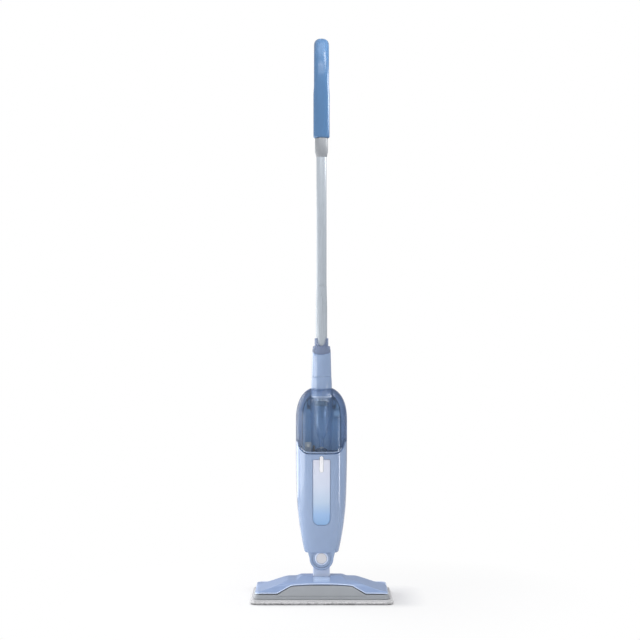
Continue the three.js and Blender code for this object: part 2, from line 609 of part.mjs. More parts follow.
const BOARD_FOOT = LENS.top - LENS.length - 8;
const BOARD_FRONT = -bodySize(BOARD_FOOT, WALL + PLAY)[1];
const body = subassembly();
place(body, 'front_casing', frontCasing(), BODY_BLUE());
place(body, 'front_panel', cut(common(
  prismY(panelOutline(0), -REACH, -20),
  cut(bodyForm(PANEL.sink), bodyForm(PANEL.sink + PANEL.thick)),
), prismY(lensOutline(FIT), -REACH, -20)), finish(0xc3d2ec, 0.15));
place(body, 'indicator_lens', common(
  prismY(lensOutline(0), -REACH, BOARD_FRONT - FIT),
  bodyForm(LENS.sink),
), WHITE());
place(body, 'indicator_board', block(
  [-BOARD.width / 2, 0, 0], [BOARD.width / 2, BOARD.thick, BOARD.height],
), BOARD_GREEN(), [0, BOARD_FRONT, BOARD_FOOT]);
place(body, 'pivot_cap_front', turnedAlongY([
  [0, -CAP.proud], [CAP.crown, -CAP.proud], [CAP.radius, 0], [CAP.radius, CAP.sink - FIT],
  [0, CAP.sink - FIT],
]), WHITE(), [0, -EAR.front, ROLL_Z]);

// ---------------------------------------------------------------- rear casing and what it carries

function rearCasing() {
  const ear = prismY(earOutline(), KNUCKLE.depth + RUN, EAR.rear);
  const spine = join(
    common(bodyShell, slice(SPLIT, REACH, BODY_FOOT, DOME_TOP)),
    cut(common(wholeBody, slice(TANK.back + FIT, TANK.back + FIT + FLANGE.thick, TANK_FLOOR - FIT, DOME_TOP)),
      prismY(archOutline(FLANGE.inset, TANK_FLOOR - 2), -REACH, REACH)),
    ear,
    turned([[0, NECK.foot], [NECK.footRadius, NECK.foot], [NECK.midRadius, DOME_TOP],
      [NECK.seamRadius, NECK.seam], [0, NECK.seam]]),
    ...screwPlaces.map(([x, z]) => common(midWall, rod(
      CASING_SCREW.boss, [x, SPLIT, z], [x, 60, z], BOSS_SIDES))),
    ...SIDES.flatMap(([, side]) => [-1, 1].map((end) => common(midWall, rod(
      HOSE, [side * (BRACKET.width / 2 - 6), BRACKET_BACK + FIT, BOILER.z + end * 24],
      [side * (BRACKET.width / 2 - 6), 60, BOILER.z + end * 24], BOSS_SIDES)))),
  );
  return cut(
    spine,
    knuckleSpace,
    cut(tankSpace, rod(NECK.midRadius, [0, 0, NECK.foot], [0, 0, NECK.seam])),
    rod(NECK.bore, [0, 0, NECK.foot + SPRING_SEAT.thick], [0, 0, NECK.seam + 1]),
    rod(SPRING_SEAT.bore, [0, 0, NECK.foot - 1], [0, 0, NECK.seam], SMALL_SIDES),
    rod(CYLINDER.radius + PLAY, [0, 0, CYLINDER.nozzleFoot], [0, 0, NECK.foot]),
    rod(GLAND.radius + FIT, [0, 20, GLAND.z], [0, 60, GLAND.z], SMALL_SIDES),
    block([-HOSE - FIT, KNUCKLE.depth + 2, ROLL_Z - HOSE], [HOSE + FIT, EAR.rear - 1.4, EAR.top + 1]),
    rod(SPIGOT.radius + FIT, [0, 0, ROLL_Z], [0, KNUCKLE.depth + 3, ROLL_Z], SMALL_SIDES),
    rod(REAR_CAP.radius - 3, [0, KNUCKLE.depth + 3, ROLL_Z], [0, EAR.rear + 1, ROLL_Z], SMALL_SIDES),
    block([-LATCH.stem - RUN, 20, LATCH.z - 4 - LATCH.travel], [LATCH.stem + RUN, 60, LATCH.z + 4 + RUN]),
    ...screwPlaces.map(([x, z]) => rod(SCREW.shank + FIT, [x, -1, z], [x, 60, z], TINY_SIDES)),
    ...screwPlaces.map(([x, z]) => rod(
      SCREW.head + FIT, [x, CASING_SCREW.headY - FIT, z], [x, 60, z], TINY_SIDES)),
  );
}

const BRACKET_FRONT = BOILER.y + BOILER.depth / 2 + FIT;
const BRACKET_BACK = BRACKET_FRONT + BRACKET.thick;
const BACK_WALL = BODY_STATIONS[BODY_STATIONS.length - 1][3];
const OUTLET_Y = (KNUCKLE.depth + EAR.rear) / 2 + PLAY; // steam outlet above the rear ear's pocket

place(body, 'rear_casing', rearCasing(), BODY_BLUE());
place(body, 'pivot_cap_rear', turnedAlongY([
  [0, FIT], [REAR_CAP.radius, FIT], [REAR_CAP.radius - 1, REAR_CAP.thick], [0, REAR_CAP.thick],
]), WHITE(), [0, EAR.rear, ROLL_Z]);
screwPlaces.forEach(([x, z], i) => {
  place(body, `casing_screw_${i + 1}`, screw(CASING_SCREW.length).rotate([90, 0, 0]), STEEL(),
    [x, CASING_SCREW.headY + SCREW.headThick, z]);
});

place(body, 'tank_cradle', cut(
  common(bodyForm(WALL + FIT), slice(-REACH, REACH, TANK_FLOOR - PLAY - CRADLE.thick, TANK_FLOOR - PLAY)),
  rod(CYLINDER.nozzle + PLAY, [0, 0, TANK_FLOOR - REACH], [0, 0, TANK_FLOOR], SMALL_SIDES),
), BODY_BLUE());

place(body, 'boiler', cut(join(
  slab(BOILER.width, BOILER.depth, BOILER.corner, -BOILER.height / 2, BOILER.height / 2),
  rod(NIPPLE.radius, [0, -BOILER.y, 0], [0, -BOILER.y, BOILER.height / 2 + NIPPLE.length], SMALL_SIDES),
  rod(NIPPLE.radius, [0, OUTLET_Y - BOILER.y, -BOILER.height / 2 - NIPPLE.length],
    [0, OUTLET_Y - BOILER.y, 0], SMALL_SIDES),
), ...SIDES.map(([, side]) => rod(BOILER.corner, [side * (BOILER.width / 2 + 4), BOILER.y - 20, 20],
  [side * (BOILER.width / 2 + 4), BOILER.y + 20, 20], SMALL_SIDES))), ALUMINIUM(), [0, BOILER.y, BOILER.z]);

place(body, 'boiler_bracket', block(
  [-BRACKET.width / 2, BRACKET_FRONT, BOILER.z - BRACKET.height / 2],
  [BRACKET.width / 2, BRACKET_BACK, BOILER.z + BRACKET.height / 2]), STEEL());

const BOILER_FRONT = BOILER.y - BOILER.depth / 2;
const BOILER_TOP = BOILER.z + BOILER.height / 2;
place(body, 'thermostat', rod(THERMOSTAT.radius, [0, -THERMOSTAT.thick, 0], [0, 0, 0], SMALL_SIDES), STEEL(),
  [0, BOILER_FRONT - FIT, THERMOSTAT.z]);
place(body, 'thermal_fuse', rod(FUSE.radius, [0, 0, -FUSE.length / 2], [0, 0, FUSE.length / 2], TINY_SIDES),
  BRASS(), [FUSE.x, BOILER_FRONT - FIT - FUSE.radius, FUSE.z]);
for (const [name, side] of SIDES) {
  place(body, `heater_terminal_${name}`, turned([
    [0, 0], [TERMINAL.radius, 0], [TERMINAL.radius, TERMINAL.length / 2], [1, TERMINAL.length / 2],
    [1, TERMINAL.length], [0, TERMINAL.length],
  ], TINY_SIDES), STEEL(), [side * TERMINAL.x, BOILER.y, BOILER_TOP + FIT]);
}
place(body, 'check_valve', turned([
  [0, CHECK_VALVE.foot], [HOSE, CHECK_VALVE.foot], [HOSE, CHECK_VALVE.foot + 7],
  [CHECK_VALVE.radius, CHECK_VALVE.foot + 7], [CHECK_VALVE.radius, CHECK_VALVE.top - 7],
  [HOSE, CHECK_VALVE.top - 7], [HOSE, CHECK_VALVE.top], [0, CHECK_VALVE.top],
], SMALL_SIDES), WHITE());
place(body, 'boiler_hose', tube([
  [0, 0, BOILER_TOP + NIPPLE.length + FIT], [0, 0, CHECK_VALVE.foot - FIT],
], HOSE, 3), SILICONE());
place(body, 'inlet_hose', tube([
  [0, 0, CHECK_VALVE.top + FIT], [0, 0, CYLINDER.nozzleFoot - FIT],
], HOSE, 3), SILICONE());
place(body, 'steam_elbow', tube([
  [0, OUTLET_Y, BOILER.z - BOILER.height / 2 - NIPPLE.length - FIT], [0, OUTLET_Y, ROLL_Z + 20],
  [0, OUTLET_Y, ROLL_Z + 9], [0, OUTLET_Y - 1, ROLL_Z + 1],
], HOSE - 0.8, 6), SILICONE());

place(body, 'terminal_block', block(
  [-TERMINAL_BLOCK.width / 2, 0, 0], [TERMINAL_BLOCK.width / 2, TERMINAL_BLOCK.depth, TERMINAL_BLOCK.height],
), WHITE(), [0, bodySize(TERMINAL_BLOCK.z, WALL + PLAY)[2] - TERMINAL_BLOCK.depth, TERMINAL_BLOCK.z]);
place(body, 'cord_gland', turnedAlongY([
  [GLAND.bore, -WALL - PLAY - 2], [GLAND.flange, -WALL - PLAY - 2], [GLAND.flange, -WALL - PLAY],
  [GLAND.radius, -WALL - PLAY], [GLAND.radius, 4],
  [GLAND.tip, GLAND.reach], [GLAND.bore, GLAND.reach],
], SMALL_SIDES, true), RUBBER(), [0, bodySize(GLAND.z, 0)[2], GLAND.z]);

function lowerHook() {
  const wall = BACK_WALL + FIT;
  const armTop = HOOK.plateTop - HOOK.arm;
  const armFoot = armTop - HOOK.arm;
  const tip = wall + HOOK.reach;
  return prismX([
    [wall, HOOK.plateFoot], [wall + HOOK.plate, HOOK.plateFoot], [wall + HOOK.plate, armFoot - 4],
    [wall + HOOK.plate + 4, armFoot], [tip - HOOK.lip, armFoot], [tip - HOOK.lip, armTop - HOOK.drop],
    [tip, armTop - HOOK.drop], [tip, armTop - 3], [tip - 3, armTop], [wall + HOOK.plate + 4, armTop],
    [wall + HOOK.plate, armTop + 4], [wall + HOOK.plate, HOOK.plateTop], [wall, HOOK.plateTop],
  ], -HOOK.half, HOOK.half);
}
place(body, 'lower_cord_hook', lowerHook(), BODY_BLUE());

place(body, 'valve_receiver', join(
  block([-7, TANK.back + FLANGE.thick + PLAY, TANK_FLOOR - FIT - PORT.z], [7, TANK.back + 15, 7]),
  rod(PORT.radius - RUN, [0, TANK.back - 4, 0], [0, TANK.back + 5, 0], SMALL_SIDES),
), SILICONE(), [PORT.x, 0, PORT.z]);
place(body, 'hose_barb', turned([
  [0, 0], [4, 0], [4, 5], [2.4, 6], [2.4, 12], [0, 13],
], SMALL_SIDES), BRASS(), [PORT.x + 12, TANK.back + 8, TANK_FLOOR - FIT]);
place(body, 'pump_gasket', turned([
  [CYLINDER.nozzle + FIT, 0], [12.6, 0], [11.5, 6], [CYLINDER.nozzle + FIT, 8],
], TURN_SIDES, true), RUBBER(), [0, 0, TANK_FLOOR - FIT]);
place(body, 'pump_cylinder', turned([
  [2, CYLINDER.nozzleFoot], [CYLINDER.nozzle, CYLINDER.nozzleFoot], [CYLINDER.nozzle, CYLINDER.cone - 6],
  [9, CYLINDER.cone], [CYLINDER.radius, CYLINDER.waist], [CYLINDER.radius, CYLINDER.top],
  [CYLINDER.bore, CYLINDER.top], [CYLINDER.bore, CYLINDER.waist + 1], [6, CYLINDER.cone + 1],
  [2, CYLINDER.cone - 4],
], TURN_SIDES, true), SMOKY());

// ---------------------------------------------------------------- neck sleeve and gland rings

/** Everything above a plane that dips at the front: its height there and its rise to the back. */
function aboveScoop(front, rise, radius) {
  const slope = rise / (2 * radius);
  const at = (y) => front + slope * (y + radius);
  const top = SCOOP.top + REACH;
  return prismX([[-REACH, at(-REACH)], [REACH, at(REACH)], [REACH, top], [-REACH, top]], -REACH, REACH);
}

place(body, 'neck_sleeve', cut(
  turned([[POLE.lowerRadius + FIT, NECK.seam + FIT], [NECK.seamRadius, NECK.seam + FIT],
    [SLEEVE.topRadius, SLEEVE.front + SLEEVE.rise], [POLE.lowerRadius + FIT, SLEEVE.front + SLEEVE.rise],
  ], TURN_SIDES, true),
  aboveScoop(SLEEVE.front, SLEEVE.rise, SLEEVE.topRadius),
  rod(POLE.lowerRadius + 6 * FIT, [0, 0, NECK.seam], [0, 0, NECK.seam + 24]),
  rod(POLE_BUTTON.radius + FIT, [0, POLE_BUTTON.well, POLE_BUTTON.z], [0, 40, POLE_BUTTON.z], SMALL_SIDES),
), BODY_BLUE());
place(body, 'gland_outer_ring', common(
  turned([[OUTER_RING.bore, SLEEVE.front], [OUTER_RING.footRadius, SLEEVE.front],
    [OUTER_RING.topRadius, OUTER_RING.top], [OUTER_RING.bore, OUTER_RING.top]], TURN_SIDES, true),
  aboveScoop(SLEEVE.front + PLAY, SLEEVE.rise, SLEEVE.topRadius),
), SMOKY());
place(body, 'gland_scoop', common(cut(
  turned([[POLE.lowerRadius + FIT, SLEEVE.front], [SCOOP.radius, SLEEVE.front], [SCOOP.radius, SCOOP.top],
    [POLE.lowerRadius + FIT, SCOOP.top]], TURN_SIDES, true),
  prismY(arc([0, SCOOP.top + 2], SCOOP.notchWidth, 180, 360, 8).map(([x, z]) => [x, z < SCOOP.top
    ? SCOOP.top - (SCOOP.top - z) * (SCOOP.notch / SCOOP.notchWidth) * 1.4 : z + 5]), -40, 0),
), aboveScoop(SLEEVE.front + PLAY, SLEEVE.rise, SLEEVE.topRadius)), SMOKY());

// ---------------------------------------------------------------- water tank

function tankShell() {
  const { wall, back } = TANK;
  const channel = (radius, foot) => join(
    rod(radius, [0, 0, foot], [0, 0, NECK.seam]),
    block([-radius, 0, foot], [radius, REACH, NECK.seam]),
  );
  const groove = (gap) => join(
    channel(CYLINDER.radius + TANK.groove + gap, TANK_FLOOR - gap - 1),
    channel(NECK.midRadius + RUN + gap, NECK.foot - PLAY - gap),
  );
  const outer = cut(common(wholeBody, prismY(tankOutline(0), -REACH, back)), groove(0));
  const inner = cut(common(bodyForm(wall), prismY(tankOutline(-wall), -REACH, back - wall)), groove(wall));
  const tabs = SIDES.map(([, side]) => block(
    [side * LATCH.armX - LATCH.arm, back - 1, LATCH.z + LATCH.tooth + PLAY],
    [side * LATCH.armX + LATCH.arm, back + 8, LATCH.z + LATCH.tooth + PLAY + 3]));
  return cut(join(outer, ...tabs), inner,
    rod(TANK_CAP.hole, [TANK_CAP.x, 0, TANK_CAP.z], [TANK_CAP.x, back + 1, TANK_CAP.z], SMALL_SIDES),
    rod(PORT.radius, [PORT.x, 0, PORT.z], [PORT.x, back + 1, PORT.z], SMALL_SIDES));
}

const tank = subassembly();
place(tank, 'tank_shell', tankShell(), SMOKY());
place(tank, 'tank_cap', turnedAlongY([
  [0, -TANK.wall - 1], [TANK_CAP.hole - FIT, -TANK.wall - 1], [TANK_CAP.hole - FIT, FIT],
  [TANK_CAP.radius, FIT], [TANK_CAP.radius, TANK_CAP.thick], [0, TANK_CAP.thick],
], SMALL_SIDES), RUBBER(), [TANK_CAP.x, TANK.back, TANK_CAP.z]);

// ---------------------------------------------------------------- tank latch

function tankLatch() {
  const { half: wide, arm, armX, plateBack, thick, stem, pad } = LATCH;
  const back = BACK_WALL;
  const arms = SIDES.map(([, side]) => join(
    block([side * armX - arm, TANK.back + 1, -4], [side * armX + arm, plateBack, 0]),
    block([side * armX - arm, TANK.back + 1, -4], [side * armX + arm, TANK.back + 4, LATCH.tooth]),
  ));
  return join(
    block([-wide, plateBack - thick, -6], [wide, plateBack, 3]), ...arms,
    block([-stem, plateBack - 1, -4], [stem, back + 1, 4]),
    prismY(roundRect(2 * pad, 18, 5), back, back + 3),
  );
}
const latch = subassembly(LATCH.z);
place(latch, 'tank_latch', tankLatch(), BODY_BLUE());

// ---------------------------------------------------------------- handle and pump rod

/** Stretch of a curve between two shares of its length. */
class Stretch extends THREE.Curve {
  constructor(whole, from, to) {
    super();
    Object.assign(this, { whole, from, to });
  }

  getPoint(t, target = new THREE.Vector3()) {
    return target.copy(this.whole.getPointAt(THREE.MathUtils.lerp(this.from, this.to, t)));
  }
}

/** Rounded section of the handle: its depth and half width, less an inset. */
function handleSection(inset, sides) {
  const bend = (value) => Math.sign(value) * Math.abs(value) ** (2 / HANDLE.power);
  return outline(arc([0, 0], 1, 0, 360 - 360 / sides, sides - 1).map(([a, b]) => [
    (HANDLE.thick - inset) * bend(a), (HANDLE.half - inset) * bend(b)]));
}

/** The loop handle's form: a tube up the front, over the top and back down into its own stem. */
function handleForm(inset, sides, steps) {
  const foot = HANDLE.foot + inset;
  const path = new THREE.CatmullRomCurve3(
    [new THREE.Vector3(0, 0, foot), ...HANDLE_LOOP.map(([y, z]) => new THREE.Vector3(0, y, HANDLE.foot + z))],
    false, 'centripetal');
  const halves = [[0, 0.52], [0.48, 1]].map(([from, to]) => {
    const geometry = new THREE.ExtrudeGeometry(handleSection(inset, sides), {
      steps, extrudePath: new Stretch(path, from, to), bevelEnabled: false,
    });
    const points = geometry.attributes.position;
    for (let i = 0; i < points.count; i += 1) {
      const mix = THREE.MathUtils.smoothstep(points.getZ(i) - HANDLE.foot, HANDLE.wideFoot, HANDLE.wideTop);
      points.setX(i, points.getX(i) * THREE.MathUtils.lerp(HANDLE.widen, 1, mix));
    }
    return solid(geometry);
  });
  return join(...halves);
}

const POLE_TOP = HANDLE.foot + HANDLE.socket;
const handleShell = cut(
  handleForm(0, 14, 11),
  handleForm(HANDLE.wall, 8, 10),
  rod(POLE.upperRadius + FIT, [0, 0, HANDLE.foot - 1], [0, 0, POLE_TOP + FIT]),
);
const handle = subassembly();
for (const [name, side] of SIDES) {
  const [inner, outer] = [side * SPLIT, side * 3 * HANDLE.half].sort((a, b) => a - b);
  const region = block([inner, -REACH, HANDLE.foot - REACH], [outer, 2 * REACH, HANDLE.foot + 4 * REACH]);
  place(handle, `handle_half_${name}`, common(handleShell, region), HANDLE_BLUE());
}
place(handle, 'handle_collar', turned([
  [POLE.upperRadius + FIT, -COLLAR.length], [COLLAR.footRadius, -COLLAR.length],
  [COLLAR.radius, COLLAR.chamfer - COLLAR.length], [COLLAR.radius, 0], [POLE.upperRadius + FIT, 0],
], TURN_SIDES, true), GREY(), [0, 0, HANDLE.foot - FIT]);
place(handle, 'upper_pole', turned([
  [POLE.upperRadius - POLE.wall, POLE.swageTop + FIT], [POLE.upperRadius, POLE.swageTop + FIT],
  [POLE.upperRadius, POLE_TOP], [POLE.upperRadius - POLE.wall, POLE_TOP],
], TURN_SIDES, true), PALE_METAL());
place(handle, 'lower_pole', turned([
  [POLE.upperRadius - POLE.wall, POLE.foot], [POLE.lowerRadius, POLE.foot],
  [POLE.lowerRadius, POLE.swageFoot], [POLE.upperRadius + FIT, POLE.swageTop],
  [POLE.upperRadius - POLE.wall, POLE.swageTop],
], TURN_SIDES, true), PALE_METAL());
const JOINER_RADIUS = POLE.upperRadius - POLE.wall - FIT;
place(handle, 'pole_joiner', turned([
  [JOINER_RADIUS - 2, -JOINER.half], [JOINER_RADIUS, -JOINER.half], [JOINER_RADIUS, JOINER.half],
  [JOINER_RADIUS - 2, JOINER.half],
], SMALL_SIDES, true), NYLON(), [0, 0, POLE.swageTop]);
const PLUG_FOOT = POLE.foot - FIT - 2;
const PISTON_TOP = PISTON.z + PISTON.thick / 2;
place(handle, 'pump_rod', turned([
  [0, PISTON_TOP + FIT], [ROD, PISTON_TOP + FIT], [ROD, PLUG_FOOT], [POLE.lowerRadius - FIT, PLUG_FOOT],
  [POLE.lowerRadius - FIT, PLUG_FOOT + 2], [JOINER_RADIUS, PLUG_FOOT + 2], [JOINER_RADIUS, PLUG_FOOT + 18],
  [0, PLUG_FOOT + 18],
], SMALL_SIDES), NYLON());
place(handle, 'pump_piston', rod(
  PISTON.radius, [0, 0, -PISTON.thick / 2], [0, 0, PISTON.thick / 2],
), RUBBER(), [0, 0, PISTON.z]);
place(body, 'pump_spring', tube(new Coil(
  PUMP_SPRING.radius, NECK.foot + SPRING_SEAT.thick + FIT + PUMP_SPRING.wire,
  PLUG_FOOT - FIT - PUMP_SPRING.wire, PUMP_SPRING.turns,
), PUMP_SPRING.wire, PUMP_SPRING.turns * 8, 4), STEEL());

// ---------------------------------------------------------------- upper cord hook and pole button

function upperHook() {
  const { half: wide, post, reach, lift, arm, pivot } = CORD_HOOK;
  return join(
    prismX([[0, -post], [reach, -arm / 2], [reach, lift], [reach - arm, lift], [reach - arm, arm / 2 + 2],
      [0, post]], -wide, wide),
    rod(pivot, [0, -2, 0], [0, 1, 0], SMALL_SIDES),
  );
}
const cordHook = subassembly(HANDLE.foot - CORD_HOOK.below);
place(cordHook, 'upper_cord_hook', upperHook(), GREY(), [0, COLLAR.radius + 2 + FIT, 0]);

const button = subassembly(POLE_BUTTON.z);
place(button, 'pole_button', rod(
  POLE_BUTTON.radius, [0, POLE_BUTTON.foot, 0], [0, NECK.seamRadius + POLE_BUTTON.proud, 0], SMALL_SIDES,
), GREY());

const steamMop = new THREE.Group();
steamMop.add(head, knuckle, body, tank, latch, handle, cordHook, button);

export default steamMop;
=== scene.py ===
"""Upright steam mop: smooth visible pieces and their materials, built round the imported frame.
Lengths are in millimetres until a mesh is made; +Z is up and the mop's front faces -Y."""

import math

import bmesh
import bpy
import numpy as np
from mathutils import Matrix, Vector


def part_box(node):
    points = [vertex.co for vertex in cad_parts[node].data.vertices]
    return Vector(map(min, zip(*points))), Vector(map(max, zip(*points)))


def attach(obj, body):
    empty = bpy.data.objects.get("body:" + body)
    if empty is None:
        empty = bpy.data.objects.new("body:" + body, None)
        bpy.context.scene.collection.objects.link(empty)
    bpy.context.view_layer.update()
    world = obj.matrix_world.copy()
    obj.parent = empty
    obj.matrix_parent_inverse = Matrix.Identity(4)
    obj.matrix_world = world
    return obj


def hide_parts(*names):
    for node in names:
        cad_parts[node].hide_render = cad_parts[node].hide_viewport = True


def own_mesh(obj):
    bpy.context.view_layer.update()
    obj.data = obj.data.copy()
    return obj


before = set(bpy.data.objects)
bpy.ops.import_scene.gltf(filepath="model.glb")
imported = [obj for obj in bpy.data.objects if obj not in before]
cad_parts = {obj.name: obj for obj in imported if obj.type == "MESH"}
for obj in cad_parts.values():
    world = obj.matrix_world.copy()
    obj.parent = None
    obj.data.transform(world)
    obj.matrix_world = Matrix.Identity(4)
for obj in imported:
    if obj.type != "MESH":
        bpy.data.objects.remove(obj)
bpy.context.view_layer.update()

MM = 0.001


def span(*nodes):
    """Lowest and highest corner that CAD nodes share, in millimetres."""
    boxes = np.array([[list(corner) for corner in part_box(node)] for node in nodes]) / MM
    return boxes[:, 0].min(axis=0), boxes[:, 1].max(axis=0)


# ---------------------------------------------------------------- curves and outlines

def smooth_step(value, low, high):
    """0 below low, 1 above high, and 3t^2 - 2t^3 between."""
    t = np.clip((value - low) / (high - low), 0, 1)
    return t * t * (3 - 2 * t)


def lengths(path):
    """Distance along a path at each of its points."""
    return np.concatenate([[0], np.cumsum(np.linalg.norm(np.diff(path, axis=0), axis=1))])


def evenly(path, count, closed=False):
    """Path resampled at even distances; a closed one also runs from its last point to its first."""
    path = np.vstack([path, path[:1]]) if closed else path
    run = lengths(path)
    even = np.linspace(0, run[-1], count, endpoint=not closed)
    return np.stack([np.interp(even, run, path[:, k]) for k in range(path.shape[1])], axis=1)


def superellipse(angle, power):
    """Across and up at an angle on |x|^power + |y|^power = 1: sign(c) |c|^(2/power), and so with s."""
    return [np.sign(v) * np.abs(v) ** (2 / power) for v in (np.cos(angle), np.sin(angle))]


def monotone(x, stations, values):
    """Cubic through stations that never overshoots: each slope is the harmonic mean of its neighbours'."""
    stations, values = np.asarray(stations, float), np.asarray(values, float)
    run = np.diff(stations)
    rise = np.diff(values) / run
    slope = np.zeros_like(values)
    same = rise[:-1] * rise[1:] > 0
    slope[1:-1][same] = 2 / (1 / rise[:-1][same] + 1 / rise[1:][same])
    slope[0], slope[-1] = rise[0], rise[-1]
    k = np.clip(np.searchsorted(stations, x) - 1, 0, len(run) - 1)
    t = np.clip((x - stations[k]) / run[k], 0, 1)
    return ((1 + 2 * t) * (1 - t) ** 2 * values[k] + t * (1 - t) ** 2 * run[k] * slope[k]
            + t * t * (3 - 2 * t) * values[k + 1] + t * t * (t - 1) * run[k] * slope[k + 1])


def smooth_path(points, count):
    """Centripetal Catmull-Rom curve through points, resampled at even distances."""
    p = np.asarray(points, float)
    p = np.vstack([2 * p[0] - p[1], p, 2 * p[-1] - p[-2]])
    knots = np.concatenate([[0], np.cumsum(np.linalg.norm(np.diff(p, axis=0), axis=1) ** 0.5)])
    runs = []
    for i in range(1, len(p) - 2):
        t = np.linspace(knots[i], knots[i + 1], 60)[:, None]
        k = knots[i - 1:i + 3]

        def mix(a, b, lo, hi):
            """Straight run from a at knot lo to b at knot hi."""
            return ((hi - t) * a + (t - lo) * b) / (hi - lo)

        a1, a2, a3 = (mix(p[i - 1 + j], p[i + j], k[j], k[j + 1]) for j in range(3))
        b1, b2 = mix(a1, a2, k[0], k[2]), mix(a2, a3, k[1], k[3])
        runs.append(mix(b1, b2, k[1], k[2]))
    return evenly(np.vstack(runs), count)


def rounded(corners, steps=5, closed=True):
    """Outline of straight runs whose corners (a, b, radius) are turned as quadratic curves.

    A corner is the control point of a curve that leaves one run and joins the next a radius away.
    """
    points = np.array([c[:2] for c in corners], float)
    radii = [c[2] if len(c) > 2 else 0 for c in corners]
    out = []
    for i, point in enumerate(points):
        if radii[i] == 0 or (not closed and i in (0, len(points) - 1)):
            out.append(point[None])
            continue
        back, ahead = points[i - 1] - point, points[(i + 1) % len(points)] - point
        reach = min(radii[i], np.linalg.norm(back) / 2, np.linalg.norm(ahead) / 2)
        start = point + back / np.linalg.norm(back) * reach
        end = point + ahead / np.linalg.norm(ahead) * reach
        t = np.linspace(0, 1, steps + 1)[:, None]
        out.append((1 - t) ** 2 * start + 2 * t * (1 - t) * point + t * t * end)
    return np.vstack(out)


def arc(centre, radius, start, end, steps=12):
    """Points of an arc between two angles in degrees."""
    a = np.radians(np.linspace(start, end, steps + 1))
    return np.stack([centre[0] + radius * np.cos(a), centre[1] + radius * np.sin(a)], axis=1)


def round_rectangle(width, height, radius, steps=8, centre=(0, 0)):
    """Rectangle whose corners are quarter circles."""
    a, b = width / 2 - radius, height / 2 - radius
    quarters = ((a, b, 0), (-a, b, 90), (-a, -b, 180), (a, -b, 270))
    return np.vstack([arc((x, y), radius, start, start + 90, steps)
                      for x, y, start in quarters]) + np.array(centre)


def inset(outline, distance):
    """Closed outline moved inwards along the mean normal of its two edges at each point."""
    ahead = np.roll(outline, -1, axis=0) - outline
    ahead /= np.maximum(np.linalg.norm(ahead, axis=1, keepdims=True), 1e-9)
    mean = ahead + np.roll(ahead, 1, axis=0)
    mean /= np.maximum(np.linalg.norm(mean, axis=1, keepdims=True), 1e-9)
    lean = np.maximum((mean * ahead).sum(axis=1, keepdims=True), 0.5)
    x, y = outline[:, 0], outline[:, 1]
    turn = np.sign((x * np.roll(y, -1) - y * np.roll(x, -1)).sum())
    return outline + turn * distance / lean * np.stack([-mean[:, 1], mean[:, 0]], axis=1)


# ---------------------------------------------------------------- surfaces

def quads(rows, columns, wrap_rows=False, wrap_columns=False):
    """Quads between neighbours of a grid of points that is numbered row by row."""
    r = np.arange(rows if wrap_rows else rows - 1)[:, None]
    c = np.arange(columns if wrap_columns else columns - 1)[None, :]
    above, right = (r + 1) % rows, (c + 1) % columns
    corners = (r * columns + c, r * columns + right, above * columns + right, above * columns + c)
    return np.stack([np.broadcast_to(k, (r.size, c.size)).ravel() for k in corners], axis=1)


def surface(grid, wrap_rows=False, wrap_columns=False, caps=False):
    """Points and faces of a grid (rows, columns, 3), with flat caps over its first and last rows if asked."""
    rows, columns = grid.shape[:2]
    faces = quads(rows, columns, wrap_rows, wrap_columns).tolist()
    if caps:
        faces += [list(range(columns)), list(range((rows - 1) * columns, rows * columns))]
    return grid.reshape(-1, 3), faces


AXES = {"x": (2, 0, 1), "y": (0, 2, 1), "z": (0, 1, 2)}


def along(a, b, height, axis):
    """Points from two coordinates across an axis and a height along it."""
    a, b, height = np.broadcast_arrays(a, b, height)
    return np.stack([(a, b, height)[k] for k in AXES[axis]], axis=-1)


def turned(profile, sides=72, centre=(0, 0), axis="z", ring=False):
    """Surface of revolution: each (radius, height) is carried round, a = r cos t, b = r sin t."""
    profile = np.asarray(profile, float)
    t = np.linspace(0, 2 * np.pi, sides, endpoint=False)[None, :]
    r, h = profile[:, :1], profile[:, 1:2]
    grid = along(centre[0] + r * np.cos(t), centre[1] + r * np.sin(t), h, axis)
    return surface(grid, wrap_rows=ring, wrap_columns=True)


def plate(outline, low, high, edge, axis, steps=4):
    """Outline carried from low to high; its rims roll in by a quarter circle, edge (1 - cos t)."""
    t = np.linspace(0, np.pi / 2, steps + 1)
    rims = [(edge * (1 - math.cos(k)), low + edge * (1 - math.sin(k))) for k in t[::-1]]
    rims += [(edge * (1 - math.cos(k)), high - edge * (1 - math.sin(k))) for k in t]
    return stacked(outline, rims, axis)


def stacked(outline, levels, axis="z"):
    """Closed solid from one outline: each level is (inset, height), and both ends are capped."""
    rings = [along(*(inset(outline, gap) if gap else outline).T, height, axis) for gap, height in levels]
    return surface(np.stack(rings), wrap_columns=True, caps=True)


def rod(radius, low, high, centre=(0, 0), axis="y", sides=32):
    """Plain cylinder between two heights along an axis, for cutting a hole."""
    return turned([(0, low), (radius, low), (radius, high), (0, high)], sides, centre, axis)


def moved(part, x=0.0, y=0.0, z=0.0):
    """Points and faces shifted by a distance along each axis."""
    points, faces = part
    return points + np.array([x, y, z]), faces


def closed_between(front, back):
    """Closed solid between two grids of one size: their long sides and both their ends are joined."""
    points, faces = surface(np.concatenate([front, back[:, ::-1]], axis=1), wrap_columns=True)
    rows, columns = front.shape[:2]
    around = 2 * columns
    for start in (0, (rows - 1) * around):
        faces += [[start + c, start + c + 1, start + around - 2 - c, start + around - 1 - c]
                  for c in range(columns - 1)]
    return points, faces


